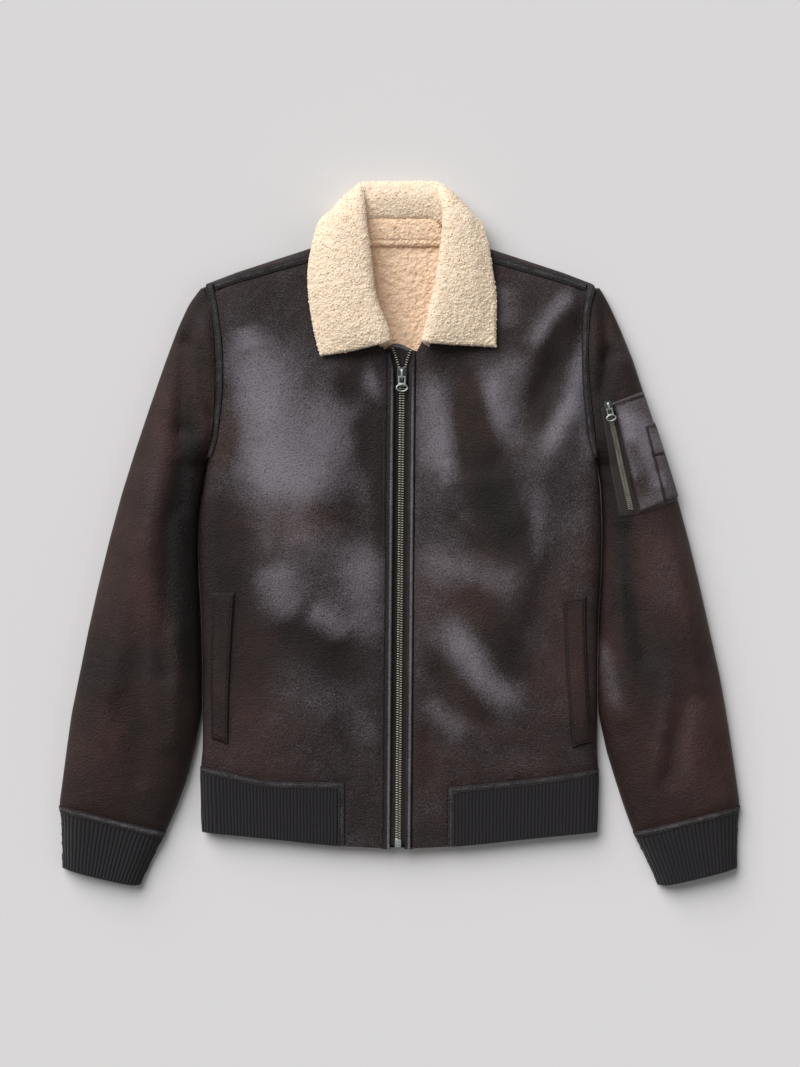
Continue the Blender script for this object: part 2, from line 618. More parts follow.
SLEEVE_CREASES = {
    "right": [
        ([(-262, 216), (-274, 120), (-286, 20), (-292, -70), (-286, -170), (-270, -250), (-266, -296)],
         9, 0.6),
        ([(-257, -130), (-257, -200), (-262, -262)], 6, 0.45), ([(-272, -140), (-271, -240)], 6, -0.4),
        ([(-246, 192), (-240, 100), (-247, 0), (-244, -110), (-237, -212)], 11, -1),
        ([(-262, 60), (-266, -20), (-266, -112)], 7, -0.6), ([(-240, 268), (-228, 236), (-218, 198)], 7, 0.5),
        ([(-312, 10), (-330, -100), (-350, -220), (-352, -306)], 22, -0.35),
        ([(-300, -196), (-310, -276)], 9, -0.4), ([(-292, 90), (-316, 0)], 14, 0.2),
        ([(-318, -150), (-330, -210), (-326, -262)], 10, 0.3),
    ],
    "left": [
        ([(240, 252), (236, 190), (240, 110), (254, 10), (262, -90), (276, -176), (272, -216)], 12, -1),
        ([(300, 30), (308, -40), (312, -112)], 19, 0.4), ([(306, -118), (302, -200), (292, -292)], 8, 0.4),
        ([(326, -190), (314, -240), (306, -298)], 7, -0.5), ([(346, -168), (330, -240), (332, -308)], 8, 0.4),
        ([(232, -110), (244, -170), (252, -216)], 8, 0.7), ([(372, -216), (360, -304)], 12, -0.3),
        ([(252, 234), (264, 186)], 10, 0.5), ([(336, -20), (346, -100), (352, -160)], 10, -0.3),
    ],
}
CREASE_RISE = 2.2         # how high a ridge of full strength stands
CREASE_DEPTH = 0.68
CREASE_BREADTH = 1.5
SLEEVE_WEAR = {"right": -0.42, "left": -0.22}
PULL_DEPTH = 1.1          # how far stitches pull the cloth down
PULL_REACH = 4.5

shoulder_rows = sorted(SHOULDER_OUTLINE)
shoulder_y = lambda x: np.interp(np.abs(x), [r[0] for r in shoulder_rows], [r[1] for r in shoulder_rows])
body_heights = [soft_line(BODY_HEIGHTS, k, 40.0) for k in (1, 2, 3)]
sleeve_heights = [soft_line(SLEEVE_HEIGHTS, k, 40.0) for k in (1, 2)]
pulled_lines = []


def wide_folds(rows, x, y):
    return sum(rise * np.exp(-(near([(x0, y0), (x1, y1)], x, y)[0] / width) ** 2)
               for x0, y0, x1, y1, width, rise in rows)


def creases(rows, x, y):
    """How strongly each place is ridge or trough: about 1 on the strongest ridges."""
    total = np.zeros(np.shape(x))
    for points, width, strength in rows:
        away, share = near(run_through(points)(shares(9)), x, y)
        fade = smooth(np.minimum(share, 1.0 - share) / 0.3 + 0.08)
        total += CREASE_DEPTH * strength * fade * np.exp(-(away / width / CREASE_BREADTH) ** 2)
    return total


def seam_pull(x, y):
    """The dip beside every sewn line that is known so far."""
    total = np.zeros(np.shape(x))
    for points in pulled_lines:
        total = np.minimum(total, -PULL_DEPTH * np.exp(-(near(points, x, y)[0] / PULL_REACH) ** 2))
    return total


def armhole_dip(x, y):
    total = np.zeros(np.shape(x))
    for side, sign in SIDES.items():
        line = [(abs(float(side_fold[side](ARMPIT_Y))), ARMPIT_Y)] + ARMHOLE_BODY_SIDE[side]
        away = near([(sign * a, b) for a, b in line], x, y)[0]
        total += -ARMHOLE_DIP * np.exp(-(np.maximum(away - 4.0, 0.0) / ARMHOLE_DIP_WIDTH) ** 2)
    return total


def body_height(x, y):
    """Height of the fronts above the table, away from the folded edges."""
    away = np.abs(x)
    zip_z, middle_z, side_z = (read(y) for read in body_heights)
    out = smooth((away - BODY_MIDDLE_X) / (BODY_SIDE_X - BODY_MIDDLE_X))
    base = zip_z + (middle_z - zip_z) * smooth(away / BODY_MIDDLE_X) + (side_z - middle_z) * out
    quiet = smooth((y + 300.0) / 60.0) * smooth((away - 12.0) / 22.0) * smooth((300.0 - y) / 40.0)
    folds = wide_folds(BODY_FOLDS, x, y) + CREASE_RISE * creases(FRONT_CREASES, x, y)
    return base + folds * quiet + armhole_dip(x, y) + seam_pull(x, y)


def sleeve_height(side):
    def height(x, y):
        inside = np.minimum(np.abs(x - outer_fold[side](y)), np.abs(x - inner_fold[side](y)))
        base = sleeve_heights[0](y) + sleeve_heights[1](y) * smooth(inside / CROWN_REACH)
        folds = wide_folds(SLEEVE_FOLDS[side], x, y) + CREASE_RISE * creases(SLEEVE_CREASES[side], x, y)
        return base + folds * smooth((y + 325.0) / 30.0) + armhole_dip(x, y) + seam_pull(x, y)
    return height


# %% [markdown]
# ## From plan to space
# Beside a fold the cloth rounds down in a quarter ellipse, and its inner face is a smaller one. So a shell
# is a function of a plan place and a depth below the outer face. The underside is the same function turned
# over: a tray that is flat on the table and turns up at the folds to meet the upper side.

# %% Shells of the pressed tubes


def shell(height, folds, turn, into, cap=None, seam=SEAM_Z):
    """Lifts plan places to the outer face, or to a depth below it. into is -1 on top and 1 underneath."""
    def at(x, y, depth=0.0):
        roundness, shift_x, shift_y = np.ones(np.shape(x)), 0.0, 0.0
        for fold_x, inward in folds:
            lean = 1.0 - np.clip((x - fold_x(y)) * inward / turn, 0.0, 1.0)
            roundness = roundness * np.sqrt(1.0 - lean ** 2)
            shift_x = shift_x + inward * depth * lean
        if cap is not None:
            lean = 1.0 - np.clip((cap(x) - y) / SHOULDER_TURN, 0.0, 1.0)
            roundness = roundness * np.sqrt(1.0 - lean ** 2)
            shift_y = -depth * lean
        full = height(x, y) + into * depth - seam
        return joined(x + shift_x, y + shift_y, seam + full * roundness)
    return at


def back_lift(x, y):
    return 4.5 * smooth((130.0 - np.abs(x)) / 60.0) * smooth((y - 235.0) / 90.0)


body_top = {s: shell(body_height, [(side_fold[s], -SIDES[s])], BODY_TURN, -1, shoulder_y) for s in SIDES}
body_tray = shell(back_lift, [(side_fold["right"], 1), (side_fold["left"], -1)], TRAY_TURN, 1, shoulder_y)
sleeve_edges = {s: [(outer_fold[s], -SIDES[s]), (inner_fold[s], SIDES[s])] for s in SIDES}
sleeve_top = {s: shell(sleeve_height(s), sleeve_edges[s], SLEEVE_TURN, -1, seam=SLEEVE_SEAM_Z) for s in SIDES}
sleeve_tray = {s: shell(lambda x, y: np.zeros(np.shape(x)), sleeve_edges[s], TRAY_TURN, 1, seam=SLEEVE_SEAM_Z)
               for s in SIDES}

# %% [markdown]
# ## Cloth with two faces
# Each panel is a closed wall: an outer grid, an inner grid, and a rim that joins them. The three get
# their own finishes, so that leather shows outside and pile inside. A closed wall prints, casts true
# shadows and can be seen from every side. Sharp edges are marked from the angle between faces.

# %% Building a wall
pieces = {}


def linked(name, mesh, keep=True):
    """Puts a mesh in the scene, and keeps it as a piece of the jacket unless told otherwise."""
    made = bpy.data.objects.new(name, mesh)
    scene.collection.objects.link(made)
    if keep:
        pieces[name] = made
    return made


def tag(mesh, label, values):
    """Stores a number on each point of a mesh, under a name that a tree or a finish reads."""
    mesh.attributes.new(label, "FLOAT", "POINT").data.foreach_set("value", values.astype(np.float32))


def wall(name, outer, inner, skins, keep=None, paints=None, weave=None):
    """A closed piece between two grids of points in millimetres. keep masks the grid's cells."""
    rows, columns = outer.shape[:2]
    keep = np.ones((rows - 1, columns - 1), bool) if keep is None else keep
    n, index = rows * columns, np.arange(rows * columns).reshape(rows, columns)
    j, i = np.nonzero(keep)
    quads = np.stack([index[j, i], index[j, i + 1], index[j + 1, i + 1], index[j + 1, i]], 1)
    points = np.concatenate([outer.reshape(-1, 3), inner.reshape(-1, 3)]) * MM
    sides = np.concatenate([quads[:, [a, (a + 1) % 4]] for a in range(4)])
    rim = sides[~np.isin(sides[:, 1] * n + sides[:, 0], sides[:, 0] * n + sides[:, 1])]
    rims = np.stack([rim[:, 1], rim[:, 0], rim[:, 0] + n, rim[:, 1] + n], 1)
    faces = np.concatenate([quads, quads[:, ::-1] + n, rims])
    skin = np.repeat([0, 1, 2], [len(quads), len(quads), len(rims)])
    a, b, c, d = (points[faces[:, k]] for k in range(4))
    if (a * (np.cross(b, c) + np.cross(c, d))).sum() < 0:      # inside out
        faces = faces[:, ::-1]
    used = np.unique(faces)
    place = np.full(len(points), -1)
    place[used] = np.arange(len(used))
    mesh = bpy.data.meshes.new(name)
    mesh.from_pydata(points[used].tolist(), [], place[faces].tolist())
    for finish in skins:
        mesh.materials.append(finish)
    mesh.polygons.foreach_set("material_index", skin.astype(np.int32))
    mesh.polygons.foreach_set("use_smooth", np.ones(len(faces), bool))
    for label, values in (paints or {}).items():
        tag(mesh, label, np.tile(values.ravel(), 2)[used])
    if weave is not None:
        uv = np.tile(joined(*weave).reshape(-1, 2), (2, 1))
        layer = mesh.uv_layers.new(name="UVMap")
        layer.data.foreach_set("uv", uv[faces.ravel()].astype(np.float32).ravel())
    mesh.set_sharp_from_angle(angle=math.radians(48.0))
    return linked(name, mesh)


def laid(name, plan, point, outside, inside, skins, keep=None, paints=None):
    """A wall over a plan, between two depths of a shell. A negative depth stands proud of it."""
    x, y = plan[..., 0], plan[..., 1]
    return wall(name, point(x, y, outside), point(x, y, inside), skins, keep, paints)


# %% [markdown]
# ## Where the leather is rubbed brown
# The burnish isn't even. These soft spots give its centre, reach and strength: more shows more brown and
# less stays black. They are a dyer's broad strokes, few and wide.

# %% The burnish
RUBBED = [
    (-110, 10, 46, 0.34), (-180, -120, 60, 0.20), (-150, -250, 80, 0.22), (-205, 120, 60, 0.10),
    (60, -60, 60, 0.16), (110, -250, 80, 0.18), (196, -160, 50, 0.18), (90, 110, 70, 0.06),
    (-320, -60, 70, 0.30), (-350, -230, 70, 0.30), (-280, 120, 70, 0.14), (320, -40, 70, 0.26),
    (350, -240, 80, 0.26), (290, 110, 60, 0.16), (-60, 250, 60, 0.12), (120, 270, 60, 0.10),
    (-90, -120, 60, -0.20), (-60, 120, 70, -0.16), (150, 40, 60, -0.14), (120, -150, 60, -0.12),
    (-300, -150, 40, -0.16), (300, -160, 40, -0.16),
]


def rubbed(plan, rows=(), more=0.0, wear=0.0):
    """The two paints of a leather piece: where it is brown, and where it is worn."""
    x, y = plan[..., 0], plan[..., 1]
    brown = sum(here * np.exp(-((x - cx) ** 2 + (y - cy) ** 2) / reach ** 2)
                for cx, cy, reach, here in RUBBED)
    return {"burnish": brown + more, "worn": creases(rows, x, y) + wear}


# %% [markdown]
# ## The fronts
# Each front runs from the side fold to the zip. Its top is the shoulder seam, its outer side the armhole
# above the armpit, and at its foot a tab of leather goes on down to the hem between rib and zip. One patch
# fills it, with columns spaced over the fold, and a few more rows make the tab.

# %% Cut the fronts
LEATHER_WALL = 5.0        # leather face, backing and pile together
HEM_TAB_X = {"right": 62.7, "left": 55.4}
HEM_STRIP_WIDTH = 8.3
ZIP_TOP = (2.9, 190.9)    # where the closed chain starts, under the slider
ZIP_FOOT = (-1.7, -362.0)
ZIP_EDGE_WIDTH = 8.6
ZIP_EDGE_REACH = {"right": 17.6, "left": 16.0}    # from the chain's middle to the strip's outer side
NECK_POINT = (84.5, 316.4)
FRONT_NECK_Y = 208.0
HEM_STRIP_TOP = {
    "right": [(196.1, -275.3), (153.5, -284.6), (110.0, -286.2)],
    "left": [(184.6, -278.3), (138.6, -284.0), (96.0, -288.4)],
}
HEM_STRIP_TOP_Y = {"right": (-268.5, -286.5), "left": (-271.0, -292.0)}     # at the fold, at the tab
HEM_BOTTOM = [(150.0, -352.0), (73.0, -360.0), (0.0, -364.0)]
HEM_BOTTOM_SIDE_Y = -344.5
WRAP_REACH = (3.0, 8.5)   # how far the back turns over the shoulder, at the arm and at the neck
SHOULDER_STRIP_WIDTH = 8.8
SHOULDER_STRIP_START = {"right": (213.5, 211.8), "left": (215.2, 214.0)}
ARMHOLE_STRIP_END = {"right": ((214.4, 287.0), (226.3, 281.0)), "left": ((216.2, 286.2), (225.8, 281.7))}
ARMHOLE_BACK_GAP = 0.5    # between the sleeve's edge and the back, underneath
SEAM = 0.25               # the dark line between two sewn pieces
SPACING = 3.4             # between grid points on the panels
FOLD_SHARE = 0.62         # of a panel's rows, those below the armpit
NECK_SHARE = 0.80         # of a front's rows, those beside the zip
TAB_ROWS = 20

chain_x = lambda y: ZIP_TOP[0] + (ZIP_FOOT[0] - ZIP_TOP[0]) * (ZIP_TOP[1] - y) / (ZIP_TOP[1] - ZIP_FOOT[1])
hem_rows = sorted([(abs(float(side_fold["right"](-350.0))), HEM_BOTTOM_SIDE_Y)] + HEM_BOTTOM)
hem_curve = run_through(hem_rows)(shares(60))
hem_y = lambda x: np.interp(np.abs(x), hem_curve[:, 0], hem_curve[:, 1])


def wrap_reach(x):
    share = (np.abs(x) - NECK_POINT[0]) / (shoulder_rows[-1][0] - NECK_POINT[0])
    return WRAP_REACH[1] + (WRAP_REACH[0] - WRAP_REACH[1]) * np.clip(share, 0.0, 1.0)


def shoulder_line(side, drop):
    start = np.interp(drop, [0.0, SHOULDER_STRIP_WIDTH], SHOULDER_STRIP_START[side])
    x = SIDES[side] * np.linspace(start, NECK_POINT[0] + 1.5, 12)
    return run_through(joined(x, shoulder_y(x) - wrap_reach(x) - drop))


def armhole(side, which):
    """One side of the armhole strip, or the edge of the back, from the armpit up to the shoulder."""
    sign = SIDES[side]
    rows = ARMHOLE_BODY_SIDE if which == "body" else ARMHOLE_SLEEVE_SIDE
    shift, inward = (1.3, 0.0) if which == "sleeve" else (-1.3, ARMHOLE_BACK_GAP if which == "back" else 0.0)
    start = (float(side_fold[side](ARMPIT_Y)) + sign * shift, ARMPIT_Y)
    return run_through([start] + [(sign * (x - inward), y) for x, y in rows[side]])


def front_edge(side, reach):
    """The line beside the zip, from the hem up."""
    return between_heights(lambda y: chain_x(y) + SIDES[side] * reach, hem_y(0.0), FRONT_NECK_Y)


def hem_strip_top(side, drop=0.0):
    """The line on which the front stops, from the side fold to its tab."""
    sign, (fold_y, tab_y) = SIDES[side], HEM_STRIP_TOP_Y[side]
    start = (float(side_fold[side](fold_y)), fold_y - drop)
    ends = [(sign * x, y - drop) for x, y in HEM_STRIP_TOP[side]] + [(sign * HEM_TAB_X[side], tab_y - drop)]
    return run_through([start] + ends)


for side, sign in SIDES.items():
    tab_x = sign * HEM_TAB_X[side]
    pulled_lines += [
        armhole(side, "body")(shares(14)), armhole(side, "sleeve")(shares(14)),
        shoulder_line(side, SHOULDER_STRIP_WIDTH)(shares(8)), hem_strip_top(side)(shares(12)),
        front_edge(side, ZIP_EDGE_REACH[side] + 0.3)(shares(3)),
        [(tab_x, HEM_STRIP_TOP_Y[side][1]), (tab_x, float(hem_y(tab_x)))],
    ]


def front(side):
    sign, (fold_y, tab_y) = SIDES[side], HEM_STRIP_TOP_Y[side]
    edge = front_edge(side, ZIP_EDGE_REACH[side] + SEAM)
    fold = between_heights(side_fold[side], fold_y, ARMPIT_Y)
    left = one_after_other(fold, armhole(side, "body"), FOLD_SHARE)
    neck_point = (sign * NECK_POINT[0], NECK_POINT[1])
    neckline = run_through([edge(1.0), (sign * 36.0, 236.0), (sign * 66.0, 274.0), neck_point])
    zip_share = (tab_y - hem_y(0.0)) / (FRONT_NECK_Y - hem_y(0.0))
    right = one_after_other(lambda t: edge(zip_share + (1.0 - zip_share) * t), neckline, NECK_SHARE)
    width = abs(left(0.0)[0]) - abs(right(0.0)[0])
    tab_share = (abs(left(0.0)[0]) - HEM_TAB_X[side]) / width
    tab_top = straight((sign * HEM_TAB_X[side], tab_y), right(0.0))
    bottom = one_after_other(hem_strip_top(side), tab_top, tab_share)
    x = np.linspace(abs(left(1.0)[0]), NECK_POINT[0], 12)[1:-1]
    seam = joined(sign * x, shoulder_y(x) - wrap_reach(x) - SHOULDER_STRIP_WIDTH - SEAM)
    shoulder = run_through([left(1.0)] + list(seam) + [neck_point])
    beside_tab = from_fold(width * tab_share, BODY_TURN, 12.0, SPACING) / width
    across = np.concatenate([beside_tab, np.linspace(tab_share, 1.0, 14)[1:]])
    plan = patch(left, right, bottom, shoulder, across, shares(156))
    tab = len(beside_tab) - 1
    foot = joined(plan[0, :, 0], hem_y(plan[0, :, 0]))
    foot[:tab] = plan[0, :tab]
    foot[-1] = edge(0.0)
    steps = np.linspace(0.0, 1.0, TAB_ROWS, endpoint=False)[:, None, None]
    plan = np.concatenate([foot[None] * (1 - steps) + plan[:1] * steps, plan])
    keep = np.ones((plan.shape[0] - 1, plan.shape[1] - 1), bool)
    keep[:TAB_ROWS, :tab] = False
    laid(f"front_leather_{side}", plan, body_top[side], 0.0, LEATHER_WALL, (SHELL, LINING, SHELL), keep,
         rubbed(plan, FRONT_CREASES))


# %% [markdown]
# ## The back
# The back is one panel with no seam down its middle. It lies flat on the table, turns up at the side folds
# and wraps over the shoulders, where the seam sits a few millimetres down the front. At the neck it stops,
# and its pile shows there from above.

# %% Cut the back
BACK_NECK_Y = 331.0
BACK_SEAM_Y = -272.0      # where the rib joins the back, at the side folds
BODY_WIDTH = 458.0
BACK_CREASES = [
    ([(-190, 190), (-140, 120), (-110, 40)], 9, 0.8), ([(-200, 60), (-150, 10), (-130, -70)], 9, 0.7),
    ([(190, 180), (142, 126), (116, 30)], 9, 0.8), ([(202, 40), (160, -10), (142, -84)], 9, 0.7),
    ([(-60, 40), (-30, -60), (-44, -160)], 12, 0.6), ([(66, 10), (40, -90), (58, -190)], 11, 0.6),
    ([(-180, -150), (-140, -200), (-128, -250)], 8, 0.6), ([(176, -160), (150, -206), (120, -252)], 8, 0.6),
]


def back_seam_y(x):
    return BACK_SEAM_Y - 16.0 * np.cos(math.pi * x / BODY_WIDTH)


def back():
    start_y = float(back_seam_y(side_fold["left"](BACK_SEAM_Y)))
    left, right = (one_after_other(between_heights(side_fold[s], start_y, ARMPIT_Y), armhole(s, "back"),
                                   FOLD_SHARE) for s in SIDES)

    def bottom(u):
        x = left(0.0)[0] + (right(0.0)[0] - left(0.0)[0]) * u
        return joined(x, back_seam_y(x))

    def top(u):
        x = left(1.0)[0] + (right(1.0)[0] - left(1.0)[0]) * u
        beside_neck = np.where(np.abs(x) > NECK_POINT[0], shoulder_y(x) - SHOULDER_TURN, BACK_NECK_Y)
        return joined(x, np.minimum(beside_neck, BACK_NECK_Y))

    columns = fold_to_fold(BODY_WIDTH, TRAY_TURN, 9.0, 4.8)
    plan = patch(left, right, bottom, top, columns, shares(128))
    x, y = plan[..., 0], plan[..., 1]
    outer, inner = body_tray(x, y, 0.0), body_tray(x, y, LEATHER_WALL)
    quiet = smooth((400.0 - np.abs(x) * 1.9) / 60.0) * smooth((y + 280.0) / 30.0)
    quiet = quiet * smooth((270.0 - y) / 40.0)
    outer[..., 2] += CREASE_RISE * np.maximum(creases(BACK_CREASES, x, y), 0.0) * quiet
    flat_rows, last = len(plan), plan[-1, :, 0]
    more_outer, more_inner = [outer], [inner]
    for grid, depth in ((more_outer, 0.0), (more_inner, LEATHER_WALL)):
        for away in (0.8, 0.6, 0.4, 0.25, 0.12, 0.04, 0.0):
            grid.append(body_tray(last, shoulder_y(last) - away * SHOULDER_TURN, depth)[None])
        for away in (0.06, 0.16, 0.3, 0.5, 0.75, 1.0):
            halves = [body_top[s](last, shoulder_y(last) - away * wrap_reach(last), depth) for s in SIDES]
            grid.append(np.where((last < 0)[:, None], *halves)[None])
    outer, inner = np.concatenate(more_outer), np.concatenate(more_inner)
    keep = np.ones((len(outer) - 1, len(last) - 1), bool)
    beyond = np.abs(last) > NECK_POINT[0] - 1.0
    keep[flat_rows - 1:] = beyond[:-1] & beyond[1:]
    wall("back_leather", outer, inner, (SHELL, LINING, SHELL), keep, rubbed(outer[..., :2], BACK_CREASES))


for side in SIDES:
    front(side)
back()
print("faces in the body:", sum(len(p.data.polygons) for p in pieces.values()))

# %% [markdown]
# ## The sleeves
# A sleeve is an upper and an under half that meet on its two folds. Both are patches between the folds,
# the seam above the cuff and the armhole.

# %% Cut the sleeves
SLEEVE_TOP_Y = 283.0
SLEEVE_WIDTH = 150.0      # only to space the grid's columns
CUFF_STRIP_WIDTH = 8.6
CUFF_SEAM_ENDS_Y = (-323.0, -353.0)      # at the outer fold and at the inner fold
CUFF_SEAM = [(351.8, -332.5), (314.5, -342.0)]
CUFF_END_Y = (-386.0, -405.46)
CUFF_END = [(366.0, -392.6), (335.8, -399.9), (310.0, -405.4)]
STRIP_GAP = 0.3


def cuff_line(side, ends_y, middle, drop=0.0):
    outer_y, inner_y = ends_y[0] - drop, ends_y[1] - drop
    return run_through([(float(outer_fold[side](outer_y)), outer_y)]
                       + [(SIDES[side] * x, y - drop) for x, y in middle]
                       + [(float(inner_fold[side](inner_y)), inner_y)])


def sleeve_plan(side, columns, rows, lift):
    """Plan of half a sleeve, outer fold first, from above the cuff up to the armhole."""
    left = between_heights(outer_fold[side], CUFF_SEAM_ENDS_Y[0] + lift, SLEEVE_TOP_Y)
    right = between_heights(inner_fold[side], CUFF_SEAM_ENDS_Y[1] + lift, ARMPIT_Y - 1.0)
    down = armhole(side, "sleeve")(np.array([0.97, 0.9, 0.8, 0.7, 0.6, 0.5, 0.4, 0.3, 0.2, 0.08]))
    top = run_through([left(1.0)] + list(down) + [right(1.0)])
    return patch(left, right, cuff_line(side, CUFF_SEAM_ENDS_Y, CUFF_SEAM, -lift), top, columns,
                 shares(rows))


for side in SIDES:
    above_cuff = cuff_line(side, CUFF_SEAM_ENDS_Y, CUFF_SEAM, -CUFF_STRIP_WIDTH)
    pulled_lines.append(above_cuff(shares(6)))
    columns = fold_to_fold(SLEEVE_WIDTH, SLEEVE_TURN, 16.0, SPACING)
    plan = sleeve_plan(side, columns, 170, CUFF_STRIP_WIDTH + SEAM)
    laid(f"sleeve_leather_top_{side}", plan, sleeve_top[side], 0.0, LEATHER_WALL, (SHELL, LINING, SHELL),
         paints=rubbed(plan, SLEEVE_CREASES[side], 0.05, SLEEVE_WEAR[side]))
    plan = sleeve_plan(side, fold_to_fold(SLEEVE_WIDTH, TRAY_TURN, 9.0, 5.0), 110, SEAM)
    laid(f"sleeve_leather_under_{side}", plan, sleeve_tray[side], 0.0, LEATHER_WALL, (SHELL, LINING, SHELL),
         paints=rubbed(plan))

# %% [markdown]
# ## Leather strips over the seams
# A narrow strip with both sides turned under is sewn over each armhole and shoulder seam, above each cuff,
# and as an L along the top of the rib and down beside the tab. It is fullest along its middle.

# %% Sew on the strips
STRIP_WIDTHS = np.array([0.0, 0.03, 0.09, 0.18, 0.32, 0.5, 0.68, 0.82, 0.91, 0.97, 1.0])
STRIP_RISES = np.array([0.0, 0.5, 0.78, 0.9, 0.98, 1.0, 0.98, 0.9, 0.78, 0.5, 0.0])


def strip_plan(one, other, stations):
    w = STRIP_WIDTHS[None, :, None]
    return one(stations)[:, None] * (1 - w) + other(stations)[:, None] * w


def strip(name, plan, point, proud, wear):
    uneven = 0.85 + 0.3 * np.sin(np.arange(len(plan)) * 0.9) * np.sin(np.arange(len(plan)) * 0.37 + 1.0)
    paints = rubbed(plan, more=-0.1)
    paints["worn"] = wear * np.exp(-((STRIP_WIDTHS - 0.4) / 0.2) ** 2)[None, :] * uneven[:, None] - 0.1
    laid(name, plan, point, -proud * STRIP_RISES[None, :] * uneven[:, None], 3.0, (TRIM, TRIM, TRIM),
         paints=paints)


def hem_strip_plan(side):
    """An L: along the top of the front rib, then down beside the tab to the hem."""
    sign, top = SIDES[side], hem_strip_top(side, SEAM)
    w = STRIP_WIDTHS
    line = top(np.concatenate([from_fold(150.0, BODY_TURN, 9.0, 4.0) / 165.0, [1.0]]))
    rows = [joined(x, y - HEM_STRIP_WIDTH * w) for x, y in line[:-1]]
    tab_x, tab_y = HEM_TAB_X[side] + SEAM, line[-1][1]
    foot = float(hem_y(tab_x))
    for k in shares(18):
        start = tab_y - HEM_STRIP_WIDTH * w
        rows.append(joined(sign * (tab_x + HEM_STRIP_WIDTH * w), start + (foot - start) * k))
    return np.array(rows)


shoulder_plans, armhole_plans, hem_plans, cuff_plans = {}, {}, {}, {}
for side, sign in SIDES.items():
    seam_lines = shoulder_line(side, STRIP_GAP), shoulder_line(side, SHOULDER_STRIP_WIDTH)
    shoulder_plans[side] = strip_plan(*seam_lines, shares(40))
    strip(f"shoulder_strip_leather_{side}", shoulder_plans[side], body_top[side], 1.2, 0.45)
    gap = np.array([sign * STRIP_GAP, 0.0])
    stations = np.linspace(0.05, 1.0, 11)
    (one_x, one_y), (other_x, other_y) = ARMHOLE_STRIP_END[side]
    one = run_through(list(armhole(side, "body")(stations) + gap) + [(sign * one_x, one_y)])
    other = run_through(list(armhole(side, "sleeve")(stations) - gap) + [(sign * other_x, other_y)])
    armhole_plans[side] = strip_plan(one, other, shares(60))
    strip(f"armhole_strip_leather_{side}", armhole_plans[side], body_top[side], 1.6, 0.4)
    hem_plans[side] = hem_strip_plan(side)
    strip(f"hem_strip_leather_{side}", hem_plans[side], body_top[side], 1.2, 0.4)
    head = cuff_line(side, CUFF_SEAM_ENDS_Y, CUFF_SEAM, -CUFF_STRIP_WIDTH)
    foot = cuff_line(side, CUFF_SEAM_ENDS_Y, CUFF_SEAM, -SEAM)
    cuff_plans[side] = strip_plan(head, foot, fold_to_fold(118.0, SLEEVE_TURN, 10.0, 3.0))
    strip(f"cuff_strip_leather_{side}", cuff_plans[side], sleeve_top[side], 1.4, 0.55)
print("pieces so far:", len(pieces))


# %% [markdown]
# ## Ribs, stitches and teeth are repeats
# Three Geometry Nodes trees make everything that repeats. One raises ribs on a plain knitted wall. One
# walks along lines at an even pitch and sets a small piece down at each step, turned to the line and to
# the cloth under it; it sews every stitch and builds every zip tooth. One scatters curls over the pile.

# %% Trees that repeat


class Tree(Graph):
    """A Geometry Nodes tree in the making, with named inputs."""

    def __init__(self, name, **inputs):
        self.tree = bpy.data.node_groups.new(name, "GeometryNodeTree")
        new_socket = self.tree.interface.new_socket
        new_socket("Geometry", in_out="OUTPUT", socket_type="NodeSocketGeometry")
        for label, kind in {"Geometry": "Geometry", **inputs}.items():
            new_socket(label, in_out="INPUT", socket_type=f"NodeSocket{kind}")
        self.input = self.tree.nodes.new("NodeGroupInput").outputs
        self.output = self.tree.nodes.new("NodeGroupOutput").inputs

    def named(self, name, kind="FLOAT"):
        inputs = {"Name": name}
        return self.node("GeometryNodeInputNamedAttribute", inputs, data_type=kind).outputs["Attribute"]

    def end(self, geometry, finish=None):
        """Closes the tree. Where it sets down copies, they are made real and given their finish."""
        if finish is not None:
            geometry = self.node("GeometryNodeRealizeInstances", {"Geometry": geometry}).outputs[0]
            geometry = self.node("GeometryNodeSetMaterial", {0: geometry, "Material": finish}).outputs[0]
        self.feed(self.output["Geometry"], geometry)
        return self.tree


def grow(made, tree, **values):
    """Runs a tree on an object and leaves a plain mesh, with no modifier on it."""
    modifier = made.modifiers.new("grow", "NODES")
    modifier.node_group = tree
    for item in tree.interface.items_tree:
        if item.in_out == "INPUT" and item.name in values:
            modifier[item.identifier] = values[item.name]
    bpy.context.view_layer.update()
    ready = made.evaluated_get(bpy.context.evaluated_depsgraph_get())
    mesh = bpy.data.meshes.new_from_object(ready)
    made.modifiers.remove(modifier)
    old, made.data = made.data, mesh
    bpy.data.meshes.remove(old)
    mesh.name = made.name
    return made


ribs = Tree("raise_ribs", Rise="Float")
wave = ribs.math("SINE", ribs.times(ribs.named("rib"), math.pi))
swell = ribs.math("POWER", ribs.math("ABSOLUTE", wave), 0.65)
rise = ribs.times(ribs.input["Rise"], ribs.named("outside"))
lift = ribs.times(ribs.plus(swell, ribs.named("sunk")), rise)
outward = ribs.node("GeometryNodeInputNormal").outputs[0]
offset = ribs.node("ShaderNodeVectorMath", {0: outward, "Scale": lift}, operation="SCALE").outputs[0]
raised = ribs.node("GeometryNodeSetPosition", {"Geometry": ribs.input["Geometry"], "Offset": offset})
RAISE_RIBS = ribs.end(raised.outputs[0])

